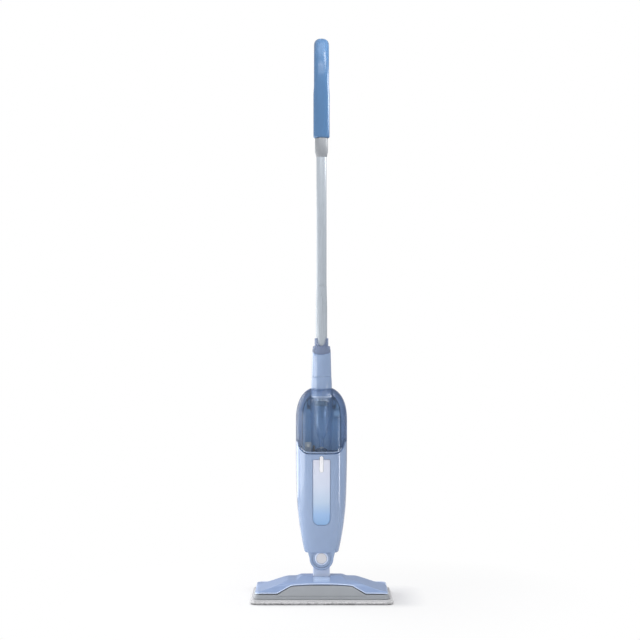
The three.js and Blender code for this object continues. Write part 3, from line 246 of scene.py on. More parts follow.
def tube(path, radius, sides=12):
    """Round tube along a path of points: the circle stays square to the path without twisting."""
    path = np.asarray(path, float)
    ahead = np.gradient(path, axis=0)
    ahead /= np.linalg.norm(ahead, axis=1, keepdims=True)
    side = np.cross(ahead[0], (0.3, 0.9, 0.31))
    frames = []
    for tangent in ahead:
        side = side - tangent * (side @ tangent)
        side /= np.linalg.norm(side)
        frames.append((side, np.cross(tangent, side)))
    u, v = (np.array([f[k] for f in frames])[:, None] for k in (0, 1))
    t = np.linspace(0, 2 * np.pi, sides, endpoint=False)[None, :, None]
    return surface(path[:, None] + radius * (u * np.cos(t) + v * np.sin(t)), wrap_columns=True, caps=True)


def lattice_noise(a, b, cell, seed):
    """Smooth noise from -1 to 1: random values on a square lattice, blended by smooth steps."""
    table = np.random.default_rng(seed).uniform(-1, 1, (256, 256))
    a, b = a / cell, b / cell
    i, j = np.floor(a).astype(int), np.floor(b).astype(int)
    u, v = smooth_step(a - i, 0, 1), smooth_step(b - j, 0, 1)
    i, j = i % 256, j % 256
    k, m = (i + 1) % 256, (j + 1) % 256
    return ((table[i, j] * (1 - u) + table[k, j] * u) * (1 - v)
            + (table[i, m] * (1 - u) + table[k, m] * u) * v)


MERGE, SLIVER = 2e-6, 1e-7  # metres: points this close become one, and edges this short go


def piece(name, parts, body, material, stands_for=(), sharp=35, wall=0, out_from=None,
          holes=(), even=True):
    """Named mesh piece from surfaces, riding a body and standing for CAD nodes.

    Doubles are merged and faces turned outwards. A sheet's faces turn away from the point out_from
    and its wall grows inwards. Holes are closed solids that are cut out.
    """
    mesh = bpy.data.meshes.new(name)
    points, faces, start = [], [], 0
    for part_points, part_faces in parts:
        points.append(part_points * MM)
        faces += [[start + corner for corner in face] for face in part_faces]
        start += len(part_points)
    mesh.from_pydata(np.vstack(points).tolist(), [], faces)
    built = bmesh.new()
    built.from_mesh(mesh)
    bmesh.ops.remove_doubles(built, verts=built.verts, dist=MERGE)
    bmesh.ops.dissolve_degenerate(built, edges=built.edges, dist=SLIVER)
    bmesh.ops.recalc_face_normals(built, faces=built.faces)
    if out_from is not None:
        centre = np.array(out_from) * MM
        outward = sum((np.array(f.calc_center_median()) - centre) @ np.array(f.normal) * f.calc_area()
                      for f in built.faces)
        if outward < 0:
            bmesh.ops.reverse_faces(built, faces=built.faces)
    built.to_mesh(mesh)
    built.free()
    mesh.materials.append(material)
    made = bpy.data.objects.new(name, mesh)
    bpy.context.collection.objects.link(made)
    if wall:
        shell = made.modifiers.new("wall", "SOLIDIFY")
        shell.thickness = wall * MM
        shell.offset = -1
        shell.use_even_offset = even
        settle(made)
    for k, hole in enumerate(holes):
        tool = piece(f"{name}_hole_{k}", [hole], None, material)
        drill = made.modifiers.new("hole", "BOOLEAN")
        drill.object = tool
        drill.operation = "DIFFERENCE"
        drill.solver = "EXACT"
        settle(made)
        bpy.data.objects.remove(tool)
    mesh = made.data
    mesh.shade_smooth()
    mesh.set_sharp_from_angle(angle=math.radians(sharp))
    if body:
        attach(made, body)
        if stands_for:
            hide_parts(*stands_for)
    return made


def settle(made):
    """Applies a piece's modifiers to its mesh."""
    bpy.context.view_layer.update()
    solved = made.evaluated_get(bpy.context.evaluated_depsgraph_get())
    mesh = bpy.data.meshes.new_from_object(solved)
    made.modifiers.clear()
    made.data = mesh


# ---------------------------------------------------------------- materials

def colour(code):
    """Linear RGBA from an sRGB hex code."""
    values = np.array([int(code[k:k + 2], 16) for k in (0, 2, 4)]) / 255
    linear = np.where(values <= 0.04045, values / 12.92, ((values + 0.055) / 1.055) ** 2.4)
    return (*linear.tolist(), 1.0)


def add(tree, kind, inputs=None, **settings):
    """Adds one shader node: its own settings, and each input's value or the socket that feeds it."""
    made = tree.nodes.new("ShaderNode" + kind)
    for name, value in settings.items():
        setattr(made, name, value)
    for name, value in (inputs or {}).items():
        if isinstance(value, bpy.types.NodeSocket):
            tree.links.new(value, made.inputs[name])
        else:
            made.inputs[name].default_value = value
    return made


def set_stops(ramp, stops):
    """Gives a colour ramp its stops, each a position and a linear RGBA colour."""
    while len(ramp.elements) < len(stops):
        ramp.elements.new(0.5)
    for stop, (position, value) in zip(ramp.elements, stops):
        stop.position, stop.color = position, value


def material(name):
    """Empty node material, its tree, and its Object coordinates in millimetres."""
    made = bpy.data.materials.new(name)
    made.use_nodes = True
    tree = made.node_tree
    tree.nodes.clear()
    place = add(tree, "TexCoord").outputs["Object"]
    return made, tree, add(tree, "Mapping", {"Vector": place, "Scale": (1000, 1000, 1000)}).outputs["Vector"]


def noise(tree, place, scale, detail, roughness=0.5):
    """Fractal noise, whose scale is in cycles per millimetre."""
    return add(tree, "TexNoise", {"Vector": place, "Scale": scale, "Detail": detail,
                                  "Roughness": roughness}).outputs["Fac"]


def spread(tree, value, middle, share):
    """Noise carried to a range about a middle value; its bulk, 0.3 to 0.7, reaches a share to each side."""
    return add(tree, "MapRange", {"Value": value, "From Min": 0.3, "From Max": 0.7,
                                  "To Min": middle * (1 - share),
                                  "To Max": middle * (1 + share)}).outputs["Result"]


def shaded(tree, code, level):
    """Colour multiplied by a level."""
    return add(tree, "Mix", {"Factor": 1.0, "A": colour(code), "B": level},
               data_type="RGBA", blend_type="MULTIPLY").outputs["Result"]


def relief(tree, height, strength, depth, **settings):
    """Normal bent by a height, whose range from 0 to 1 stands for a depth in millimetres."""
    return add(tree, "Bump", {"Height": height, "Strength": strength, "Distance": depth * MM},
               **settings).outputs["Normal"]


def moulded(name, code, roughness, grain, depth, ior=1.5, coat=0.0, drift=0.035):
    """Injection-moulded plastic: spark-eroded grain in the gloss and a faint drift of its colour."""
    made, tree, place = material(name)
    fine = noise(tree, place, 1 / grain, 3.0)
    broad = noise(tree, place, 0.02, 2.0)
    tint = shaded(tree, code, spread(tree, broad, 1, drift))
    rough = spread(tree, fine, roughness, 0.12)
    shader = add(tree, "BsdfPrincipled", {
        "Base Color": tint, "Roughness": rough, "IOR": ior, "Normal": relief(tree, fine, 0.5, depth),
        "Coat Weight": coat, "Coat Roughness": 0.06})
    add(tree, "OutputMaterial", {"Surface": shader.outputs["BSDF"]})
    return made


def metal(name, code, roughness, stretch, metallic=1.0, depth=0.004):
    """Metal whose fine marks are noise stretched along the way it was drawn, turned or rolled."""
    made, tree, place = material(name)
    pulled = add(tree, "Mapping", {"Vector": place, "Scale": stretch}).outputs["Vector"]
    marks = noise(tree, pulled, 1.0, 4.0)
    rough = spread(tree, marks, roughness, 0.2)
    tone = add(tree, "MapRange", {"Value": marks, "To Min": 0.93, "To Max": 1.05}).outputs["Result"]
    tint = shaded(tree, code, tone)
    shader = add(tree, "BsdfPrincipled", {"Base Color": tint, "Metallic": metallic, "Roughness": rough,
                                          "Normal": relief(tree, marks, 0.4, depth)})
    add(tree, "OutputMaterial", {"Surface": shader.outputs["BSDF"]})
    return made


def clear_plastic(name, face_tint, edge_tint, haze, share, roughness=0.09, mirror_rise=0.7,
                  mirror_base=0.025):
    """Dyed clear plastic: the tint deepens as f^2.5, a share is scattered, and the face mirrors as
    base + rise f^5, where f runs from 0 face on to 1 edge on; edge on one looks along the wall."""
    made, tree, place = material(name)
    ripple = relief(tree, noise(tree, place, 0.03, 1.0), 0.25, 0.12)
    edge = add(tree, "LayerWeight", {"Blend": 0.5}).outputs["Facing"]
    steep = add(tree, "Math", {0: edge, 1: 5.0}, operation="POWER").outputs["Value"]
    mirror = add(tree, "Math", {0: steep, 1: mirror_rise, 2: mirror_base},
                 operation="MULTIPLY_ADD").outputs["Value"]
    depth = add(tree, "Math", {0: edge, 1: 2.5}, operation="POWER").outputs["Value"]
    tint = add(tree, "Mix", {"Factor": depth, "A": colour(face_tint), "B": colour(edge_tint)},
               data_type="RGBA")
    passed = add(tree, "BsdfTransparent", {"Color": tint.outputs["Result"]}).outputs["BSDF"]
    body = add(tree, "BsdfDiffuse", {"Color": colour(haze)}).outputs["BSDF"]
    shine = add(tree, "BsdfGlossy", {"Color": (1, 1, 1, 1), "Roughness": roughness,
                                     "Normal": ripple}).outputs["BSDF"]
    inside = add(tree, "MixShader", {0: share, 1: passed, 2: body}).outputs["Shader"]
    whole = add(tree, "MixShader", {0: mirror, 1: inside, 2: shine})
    add(tree, "OutputMaterial", {"Surface": whole.outputs["Shader"]})
    return made


# ABS: even, softly shining, as the casing, head cover and neck are moulded.
POWDER_BLUE = moulded("satin_moulded_abs_powder_blue", "8fa3c3", 0.13, 0.9, 0.005, coat=0.35)
COVER_BLUE = moulded("satin_moulded_abs_cover_blue", "8ea3c8", 0.34, 0.9, 0.005)
# Pale blue of the lip bead: a painted highlight, standing for the bright line along the cover's front edge
LIP_HIGHLIGHT_BLUE = moulded("gloss_moulded_abs_lip_painted_highlight", "c9d8f2", 0.16, 0.9, 0.005)
MID_BLUE = moulded("satin_moulded_abs_mid_blue", "547aa4", 0.24, 0.9, 0.003)
WHITE_ABS = moulded("gloss_moulded_abs_white", "cfcfd3", 0.22, 1.2, 0.008)
PALE_BLUE = moulded("gloss_moulded_abs_ice_blue", "ccd8ee", 0.2, 1.2, 0.008)
BAY_BLUE = moulded("satin_moulded_abs_sea_blue", "93b2d2", 0.3, 1.2, 0.008)
# Bright white for the rims at the neck's foot and round the pump's cylinder: partly their own white, partly a
# painted highlight for the bright line seen through the dome
HIGHLIGHT_RIM_WHITE = moulded("gloss_moulded_abs_rim_white", "f2f2f5", 0.18, 1.2, 0.004)
# Paler blue for the slot insert: painted light, standing for the front-lit barrel seen in the cover's slot
SLOT_LIT_BLUE = moulded("satin_moulded_abs_slot_painted_light", "b0c3e2", 0.16, 0.9, 0.005)
LENS_WHITE = moulded("gloss_moulded_acrylic_opal", "f1f1f4", 0.15, 1.2, 0.004)
# Polypropylene: duller and slightly waxy, for the base, collar and hooks.
GREY_PP = moulded("waxy_moulded_polypropylene_grey", "93979c", 0.42, 1.0, 0.02, ior=1.49)
NATURAL_NYLON = moulded("moulded_nylon_natural", "d6d2c8", 0.45, 1.0, 0.02, ior=1.53)
NITRILE = moulded("moulded_nitrile_rubber_black", "26272b", 0.6, 0.8, 0.03, ior=1.52)
# Dark navy for the cord round the tank's bay: a painted shadow line
SHADOW_LINE_NAVY = moulded("painted_shadow_cord_navy", "2c3f5c", 0.6, 0.8, 0.03, ior=1.52)
BLUE_RUBBER = moulded("moulded_silicone_rubber_haze_blue", "7f9dbc", 0.5, 0.8, 0.03, ior=1.43)
TICK_INK = moulded("pad_printed_ink_slate", "2b4058", 0.4, 0.8, 0.01)
SILICONE = moulded("extruded_silicone_cream", "ddd6c6", 0.4, 1.5, 0.02, ior=1.41)
CREAM_ACETAL = moulded("moulded_acetal_cream", "f4ead4", 0.35, 1.0, 0.01, ior=1.48)
BOARD_GREEN = moulded("fibreglass_board_green", "2f6e48", 0.35, 0.6, 0.02)
# Smoky clear copolyester: tank, pump cylinder and gland rings.
SMOKY_TANK = clear_plastic("moulded_clear_copolyester_smoky", "f8fafc", "acb9cf", "93aed2", 0.055,
                            mirror_rise=0.5, mirror_base=0.012)
SMOKY_RING = clear_plastic("moulded_clear_copolyester_ring", "c9d3e6", "76829e", "a8b6d0", 0.4, 0.2,
                            mirror_rise=0.2)
SMOKY_CYLINDER = clear_plastic("moulded_clear_polycarbonate_cylinder", "eef5fb", "93b0cf", "b4d2ea", 0.1,
                                mirror_rise=1.6, mirror_base=0.04)
CLEAR_RIM = clear_plastic("moulded_clear_copolyester_rim", "eef2f8", "8f9fc0", "dbe4f0", 0.55)
# Metals
SILVER_TUBE = metal("silver_lacquered_steel_tube", "b0b8c0", 0.3, (1.2, 1.2, 0.02), metallic=0.12,
                    depth=0.0008)
ZINC_STEEL = metal("zinc_plated_steel", "b9bbbf", 0.32, (1.5, 1.5, 1.5))
TURNED_BRASS = metal("turned_brass", "c39b58", 0.28, (0.4, 0.4, 4.0))
CAST_ALUMINIUM = metal("cast_aluminium", "b7babd", 0.55, (0.9, 0.9, 0.9), depth=0.05)


def lacquered_panel(low, high):
    """Back-painted clear panel: white at its top, fading to sky blue at its foot, under a hard gloss."""
    made, tree, place = material("back_painted_acrylic_white_to_sky")
    height = add(tree, "SeparateXYZ", {"Vector": place}).outputs["Z"]
    fade = add(tree, "MapRange", {"Value": height, "From Min": low, "From Max": high})
    ramp = add(tree, "ValToRGB", {"Fac": fade.outputs["Result"]})
    stops = ((0.0, "86add9"), (0.16, "98b9e2"), (0.34, "b9cde4"), (0.6, "cfd8ea"), (1.0, "d8dbea"))
    set_stops(ramp.color_ramp, [(at, colour(code)) for at, code in stops])
    flow = relief(tree, noise(tree, place, 0.05, 1.0), 0.2, 0.2)
    shader = add(tree, "BsdfPrincipled", {
        "Base Color": ramp.outputs["Color"], "Roughness": 0.16, "IOR": 1.49, "Normal": flow,
        "Coat Weight": 0.6, "Coat Roughness": 0.04})
    add(tree, "OutputMaterial", {"Surface": shader.outputs["BSDF"]})
    return made


LOOP_GAP, LOOP_ROWS, LOOP_HEIGHT = 2.0, 2.6, 2.2  # spacing of the pile's loops along X, Y and Z
CONTACT_SHADE_LOW, CONTACT_SHADE_HIGH = -4.6, 1.6  # painted contact shade near the floor fades out between these heights


def terry(name):
    """Looped microfibre: loops 2 mm apart in rows 2.6 mm apart, a soft sheen, greyed near the floor by
    painted contact shade.
    """
    made, tree, place = material(name)
    rows = add(tree, "Mapping", {"Vector": place, "Scale": (1 / LOOP_GAP, 1 / LOOP_ROWS, 1 / LOOP_HEIGHT)})
    loops = add(tree, "TexVoronoi", {"Vector": rows.outputs["Vector"], "Scale": 1.0,
                                     "Randomness": 0.7}).outputs["Distance"]
    fuzz = noise(tree, place, 1.4, 5.0, roughness=0.7)
    height = add(tree, "Math", {0: loops, 1: fuzz}, operation="SUBTRACT").outputs["Value"]
    pile = relief(tree, height, 0.7, 0.8, invert=True)
    shade = add(tree, "MapRange", {"Value": loops, "From Max": 0.8, "To Min": 1.04, "To Max": 0.84})
    level = add(tree, "SeparateXYZ", {"Vector": place}).outputs["Z"]
    ragged = noise(tree, place, 0.16, 4.0)
    drawn_up = add(tree, "Math", {0: ragged, 1: -9.0, 2: level}, operation="MULTIPLY_ADD").outputs["Value"]
    # Painted shade: the pile darkens towards the floor as a contact shadow would, with a ragged edge from
    # noise
    contact_shade = add(tree, "MapRange", {"Value": drawn_up, "From Min": CONTACT_SHADE_LOW, "From Max": CONTACT_SHADE_HIGH,
                                   "To Min": 0.2, "To Max": 1.0}).outputs["Result"]
    both = add(tree, "Math", {0: shade.outputs["Result"], 1: contact_shade}, operation="MULTIPLY").outputs["Value"]
    tint = shaded(tree, "d8d8da", both)
    shader = add(tree, "BsdfPrincipled", {
        "Base Color": tint, "Roughness": 0.92, "IOR": 1.5, "Normal": pile, "Sheen Weight": 0.25,
        "Sheen Roughness": 0.5})
    add(tree, "OutputMaterial", {"Surface": shader.outputs["BSDF"]})
    return made


MICROFIBRE = terry("looped_microfibre_terry_white")

# ---------------------------------------------------------------- camera, light and floor

camera_data = bpy.data.cameras.new("camera")
camera_data.lens = 80
camera_data.sensor_width = 36
camera = bpy.data.objects.new("camera", camera_data)
camera.location = (-0.0032, -3.05, 0.596)
camera.rotation_euler = (math.pi / 2, 0, 0)
bpy.context.collection.objects.link(camera)
scene = bpy.context.scene
scene.camera = camera
scene.view_settings.view_transform = "Standard"
scene.cycles.transparent_max_bounces = 24


def softbox(name, place, aim, width, height, power):
    """Rectangular area lamp, in metres and watts, turned to face a point."""
    data = bpy.data.lights.new(name, "AREA")
    data.shape = "RECTANGLE"
    data.size, data.size_y, data.energy = width, height, power
    lamp = bpy.data.objects.new(name, data)
    gaze = np.array(aim, float) - np.array(place, float)
    tilt = math.atan2(-gaze[2], math.hypot(gaze[0], gaze[1]))
    lamp.location = place
    lamp.rotation_euler = (math.pi / 2 - tilt, 0, math.atan2(-gaze[0], gaze[1]))
    lamp.visible_camera = False
    bpy.context.collection.objects.link(lamp)
    return lamp


# Low box close on the left, seen by the casing's left flank; weaker behind, where plastic mirrors more
softbox("left_softbox", (-1.0, -0.28, 0.285), (0, -0.28, 0.285), 0.9, 0.55, 5.5)
softbox("left_rear_softbox", (-0.87, 0.72, 0.56), (0, 0, 0.56), 1.0, 1.04, 6.8)
# Long thin box high in front: it draws bright lines on the lips and rims, helped there by the painted
# highlight in their pale colours
softbox("key_softbox", (-0.2, -1.6, 2.1), (0, 0, 0.3), 1.9, 0.3, 10)
softbox("top_softbox", (0.1, -0.3, 2.4), (0, 0, 0.3), 1.6, 1.2, 8.5)
# Broad light from beside the camera that lifts the front and is not mirrored anywhere
fill = softbox("front_fill", (0.4, -2.9, 0.6), (0, 0, 0.4), 1.2, 0.8, 4.8)
fill.visible_glossy = False
# Small box over the handle's crown
softbox("crown_softbox", (0.35, -0.27, 1.56), (0, 0, 1.16), 0.3, 0.4, 3.2)
# Narrow window of light on the right, seen as a thin line along the casing, and one for the grip
softbox("right_strip", (0.81, -0.395, 0.23), (0, 0, 0.23), 0.09, 0.46, 1.35)
softbox("right_high_strip", (0.49, 0.155, 1.17), (0.016, 0, 1.1), 0.3, 0.17, 1.7)


def studio(world):
    """Room seen in reflections: brighter to the left, dim to the right.

    Camera rays see plain white, so the background stays white from every side.
    """
    world.use_nodes = True
    tree = world.node_tree
    tree.nodes.clear()
    way = add(tree, "SeparateXYZ", {"Vector": add(tree, "TexCoord").outputs["Generated"]})
    across = add(tree, "MapRange", {"Value": way.outputs["X"], "From Min": -1.0, "From Max": 1.0})
    ramp = add(tree, "ValToRGB", {"Fac": across.outputs["Result"]})
    levels = ((0.0, 0.66), (0.2, 0.62), (0.4, 0.52), (0.55, 0.45), (0.8, 0.36), (1.0, 0.3))
    set_stops(ramp.color_ramp, [(at, (level, level, level * 1.02, 1)) for at, level in levels])
    rays = add(tree, "LightPath")
    seen = add(tree, "Mix", {"Factor": rays.outputs["Is Camera Ray"], "A": ramp.outputs["Color"],
                             "B": (1, 1, 1, 1)}, data_type="RGBA")
    sky = add(tree, "Background", {"Color": seen.outputs["Result"], "Strength": 1.0})
    add(tree, "OutputWorld", {"Surface": sky.outputs["Background"]})


scene.world = bpy.data.worlds.new("studio")
studio(scene.world)


SHADED_CENTRE, SHADED_HALF = (24, 20, 0), (152, 80, 0)  # the part of the paper that shows every shadow
GLOW_REACH = 420.0  # distance past it at which the paper has faded into the background


def floor_paper():
    """White seamless paper: it keeps shadows near the object and fades into the background far off.

    The glow grows with the distance outside a rectangle under the head, a little to the right.
    """
    made, tree, place = material("white_seamless_paper")
    matt = add(tree, "BsdfPrincipled", {"Base Color": colour("ededee"), "Roughness": 0.85})
    glow = add(tree, "Emission", {"Color": (1, 1, 1, 1), "Strength": 1.0})
    offset = add(tree, "VectorMath", {0: place, 1: SHADED_CENTRE}, operation="SUBTRACT").outputs["Vector"]
    folded = add(tree, "VectorMath", {0: offset}, operation="ABSOLUTE").outputs["Vector"]
    outside = add(tree, "VectorMath", {0: folded, 1: SHADED_HALF}, operation="SUBTRACT").outputs["Vector"]
    gap = add(tree, "VectorMath", {0: outside, 1: (0, 0, 0)}, operation="MAXIMUM").outputs["Vector"]
    far = add(tree, "VectorMath", {0: gap}, operation="LENGTH").outputs["Value"]
    reach = add(tree, "MapRange", {"Value": far, "From Min": 0.0, "From Max": GLOW_REACH})
    fade = add(tree, "ValToRGB", {"Fac": reach.outputs["Result"]})
    levels = ((0.0, 0.0), (0.12, 0.72), (1.0, 1.0))
    set_stops(fade.color_ramp, [(at, (level, level, level, 1)) for at, level in levels])
    rays = add(tree, "LightPath")
    share = add(tree, "Math", {0: rays.outputs["Is Camera Ray"], 1: fade.outputs["Color"]},
                operation="MULTIPLY")
    both = add(tree, "MixShader", {0: share.outputs["Value"], 1: matt.outputs["BSDF"],
                                   2: glow.outputs["Emission"]})
    add(tree, "OutputMaterial", {"Surface": both.outputs["Shader"]})
    return made


FLOOR_HALF, FLOOR_SINK = 30, 0.0002  # metres; the pad's pile just clears the paper
floor_mesh = bpy.data.meshes.new("floor")
floor_mesh.from_pydata([(x * FLOOR_HALF, y * FLOOR_HALF, -FLOOR_SINK)
                        for x, y in ((-1, -1), (1, -1), (1, 1), (-1, 1))], [], [(0, 1, 2, 3)])
floor_mesh.materials.append(floor_paper())
floor = bpy.data.objects.new("floor", floor_mesh)
bpy.context.collection.objects.link(floor)

# ---------------------------------------------------------------- head: pad, base and cover

PAD_HIGH = span("mop_pad")[1]
BASE_LOW, BASE_HIGH = span("head_base")
PAD_CORNER = 14


def mop_pad():
    """Terry pad: rings of a rounded rectangle carried from the middle of its underside round the rim.

    The rim bulges as a superellipse and the top face runs back in under the base. Every point is
    then lifted along its normal by loops of pile: lattice noise of 2 to 34 mm.
    """
    half, thick = PAD_HIGH[:2], PAD_HIGH[2]
    outline = evenly(round_rectangle(*(2 * half), PAD_CORNER, steps=20), 640, closed=True)
    t = np.linspace(-np.pi / 2, np.pi / 2, 15)
    bend = np.sign(np.sin(t)) * np.abs(np.sin(t)) ** 0.75
    rim = [(4.2 - 4.0 * math.cos(a) ** 0.8 + 2.6 * max(0.0, b), thick / 2 * (1 + b) - 0.1 * max(0.0, b))
           for a, b in zip(t, bend)]
    under = [(gap, 0.0) for gap in (74, 60, 46, 34, 24, 16, 10, 7)]
    over = [(gap, thick - 0.15) for gap in (8.0, 9.5, 12.0)]
    grid = np.stack([np.column_stack([outline * ((half - gap) / half), np.full(len(outline), height)])
                     for gap, height in under + rim + over])
    x, y, z = grid[..., 0], grid[..., 1], grid[..., 2]
    edge = np.clip(1 - np.abs(np.maximum(np.abs(x) - half[0], np.abs(y) - half[1])) / 9, 0, 1)
    pile = (lattice_noise(x + 3 * z, y + 2 * z, 2.2, 11) * 0.28 + lattice_noise(x - z, y, 6.0, 12) * 0.22
            + lattice_noise(x, y, 34.0, 13) * 0.25)
    out = grid[..., :2] / half
    out = out / np.maximum(np.linalg.norm(out, axis=-1, keepdims=True), 1e-6)
    grid[..., :2] += out * (pile * edge)[..., None]
    grid[..., 2] += np.where(z > 0.5, pile * 0.5, 0)
    grid[..., 2] = np.clip(grid[..., 2], 0, thick - 0.05)
    return surface(grid, wrap_columns=True, caps=True)


pad = piece("mop_pad_terry", [mop_pad()], "head", MICROFIBRE, ["mop_pad"], sharp=80)


def hem(gap, height, radius, sides=8, wave=0.12, stitch=3.0):
    """Bound edge: a flattened cord carried round the pad's outline and pinched at every stitch.

    Its radius is r (1 - wave (1/2 + 1/2 cos 2 pi s / stitch)^4) at a distance s along the edge.
    """
    outline = inset(round_rectangle(*(2 * PAD_HIGH[:2]), PAD_CORNER, steps=24), gap)
    ring = evenly(outline, 900, closed=True)
    distance = np.linspace(0, lengths(np.vstack([outline, outline[:1]]))[-1], 900, endpoint=False)
    ahead = np.roll(ring, -1, axis=0) - np.roll(ring, 1, axis=0)
    ahead /= np.linalg.norm(ahead, axis=1, keepdims=True)
    out = np.stack([ahead[:, 1], -ahead[:, 0]], axis=1)
    t = np.linspace(0, 2 * np.pi, sides, endpoint=False)
    swell = (radius * (1 - wave * (0.5 + 0.5 * np.cos(distance * 2 * np.pi / stitch)) ** 4))[:, None]
    x, y = (ring[:, k:k + 1] + out[:, k:k + 1] * swell * np.cos(t) for k in (0, 1))
    grid = np.stack([x, y, height + swell * 0.62 * np.sin(t)], axis=-1)
    return surface(grid, wrap_rows=True, wrap_columns=True)


piece("pad_hem", [hem(3.3, PAD_HIGH[2] - 1.25, 1.9)], "head", MICROFIBRE, sharp=80)

BASE_TOP, BASE_FLOOR = 20.2, 15.3  # heights of the tray's rim and of its floor inside


def head_base():
    """Open tray with tapered sides: levels of a rounded rectangle up the outside and down the inside."""
    low, high = BASE_LOW[2], BASE_TOP
    outline = round_rectangle(BASE_HIGH[0] - BASE_LOW[0], 148, 12, steps=10)
    levels = [(1.2, low), (0.35, low + 0.35), (0.05, low + 1.2), (2.7, high - 1.0), (2.95, high - 0.35),
              (3.5, high), (6.4, high), (7.0, high - 0.6), (7.0, BASE_FLOOR)]
    return stacked(outline, levels)


def apron():
    """Leaning front wall of the base: a trapezium with a bowed top and its shoulders rounded.

    Its depth moves back by 9 mm in proportion to the height from 17.2 to 37 mm.
    """
    right = [(93, 17.4, 0.5), (92.5, 20.2, 3), (65.5, 35.4, 5), (57, 36.6, 3), (44, 37.3, 3), (22, 37.9, 3)]
    shape = rounded(right + [(-x, z, radius) for x, z, radius in reversed(right)], steps=6)
    points, faces = plate(shape, 0, 3, 0.7, "y")
    points[:, 1] += -72.5 + 9 * (points[:, 2] - 17.2) / (37 - 17.2)
    return points, faces


piece("base_tray", [head_base(), apron()], "head", GREY_PP, ["head_base"])

# Outline of the cover from its middle to its right end, and its profile from front to back
COVER_FRONT = [(0, 51), (43, 51), (48, 48), (53, 45.6), (72, 45.0), (80, 43), (89, 40), (98, 37),
               (106, 34), (117, 30.5), (128, 27.5), (134, 26), (138.6, 23.6), (139.5, 20.5)]
COVER_SIDE = [(-68.5, 20.5), (-67.6, 22.4), (-62.4, 38.2), (-59, 41.0), (-50, 43.2), (-24, 48.6), (-16, 51),
              (11, 51), (17, 49.2), (20, 45), (25.4, 26.6), (29.5, 23.3), (56.5, 23), (67.5, 21.9),
              (68.5, 20.5)]
COVER_END, COVER_REAR, COVER_CORNER, COVER_FOOT = 139.5, 68.5, 12, 20.5


def cover_reach(x):
    """How far the cover reaches to its front and back at x: its footprint's corners are quarter circles."""
    past = np.maximum(np.abs(x) - (COVER_END - COVER_CORNER), 0)
    return COVER_REAR - COVER_CORNER + np.sqrt(np.maximum(COVER_CORNER ** 2 - past ** 2, 0))


def cover_edge(x):
    """Height of the cover's front edge: a shadow gap above the apron, down its slopes to the base."""
    return np.interp(np.abs(x), [0, 22, 44, 58, 65.6, 93.3, 96, 128, COVER_END],
                     [40.4, 40.2, 39.4, 38.5, 37.4, 22.3, 22.3, 22.3, 20.6])


def cover_lip():
    """Round bead along the cover's foot: up over the apron in front, level round the ends and behind."""
    straight_x, straight_y = COVER_END - COVER_CORNER, COVER_REAR - COVER_CORNER
    x = np.concatenate([np.linspace(COVER_END - 0.2, 128, 12), np.linspace(127, 0, 60)])
    z = cover_edge(x) + 0.7
    depth = np.interp(z, [20.5, 22.4, 38.2, 41.0], [68.5, 67.6, 62.4, 59.2])
    front = np.column_stack([x, -(depth + 0.25) * cover_reach(x) / COVER_REAR, z])
    turn = np.linspace(0, np.pi / 2, 10)[1:]
    behind = np.vstack([np.column_stack([straight_x * np.linspace(0, 1, 12), np.full(12, COVER_REAR - 0.2)]),
                        np.column_stack([straight_x + COVER_CORNER * np.sin(turn),
                                         straight_y + (COVER_CORNER - 0.2) * np.cos(turn)]),
                        [(COVER_END, 20), (COVER_END, -20), (COVER_END, -54)]])
    right = np.vstack([np.column_stack([behind, np.full(len(behind), 21.6)]), front])
    return tube(np.vstack([right, right[-2::-1] * (-1, 1, 1)]), 1.25, 10)


def softened(points, radius):
    """Open outline whose inner corners all have one radius."""
    last = len(points) - 1
    return rounded([(a, b, radius if 0 < k < last else 0) for k, (a, b) in enumerate(points)], closed=False)


def cover():
    """Height field of the cover: the smooth lesser of its front outline and its side profile.

    Each column's profile is resampled by length from where the apron's edge crosses its front, and
    the rows draw together at the ends, where the footprint's corners are 12 mm quarter circles.
    """
    x, top = evenly(softened(COVER_FRONT, 3.0), 120).T
    x, top = np.concatenate([-x[:0:-1], x]), np.concatenate([top[:0:-1], top])
    y, profile = evenly(softened(COVER_SIDE, 2.5), 1400).T
    columns = []
    for at, crest, far, foot in zip(x, top, cover_reach(x), cover_edge(x)):
        soft = 7.0 + 4.0 * float(smooth_step(np.array(abs(at)), 92, 112))
        blend = np.clip(0.5 + (profile - crest) / soft, 0, 1)
        z = profile * (1 - blend) + crest * blend - soft / 4 * blend * (1 - blend)
        z = np.maximum(z, COVER_FOOT)
        start = int(np.argmax(z >= foot))
        depth, z = (y * far / COVER_REAR)[start:], z[start:]
        run = np.concatenate([[0], np.cumsum(np.hypot(np.diff(depth), np.diff(z)) + 1e-6)])
        place = np.linspace(0, run[-1], 110)
        columns.append(np.column_stack([np.full(110, at), np.interp(place, run, depth),
                                        np.interp(place, run, z)]))
    return surface(np.stack(columns))


slot_hole = stacked(round_rectangle(36.6, 88, 2.0, 6, centre=(0, -6)), [(0, 0), (0, 70)])
piece("head_cover_shell", [cover()], "head", COVER_BLUE, ["head_cover"], wall=2.4,
      out_from=(0, 0, 0), holes=[slot_hole], sharp=30)

# The bead's pale blue paints the highlight along the cover's lip
piece("cover_lip_bead", [cover_lip()], "head", LIP_HIGHLIGHT_BLUE)
# The insert fills the slot before the barrel in a paler blue: painted light over the slot's shade
insert_outline = rounded([(-49.5, 38, 0.3), (-49.5, 43.0, 0.8), (-34.4, 45.6, 0.3), (-34, 46.6, 0.4),
                          (-17.2, 49.2, 0.8), (-15.6, 48.6, 0.5), (-15.6, 38, 0.3)], steps=3)
piece("knuckle_slot_insert", [plate(insert_outline, -18.0, 18.0, 0.3, "x")], "head", SLOT_LIT_BLUE)

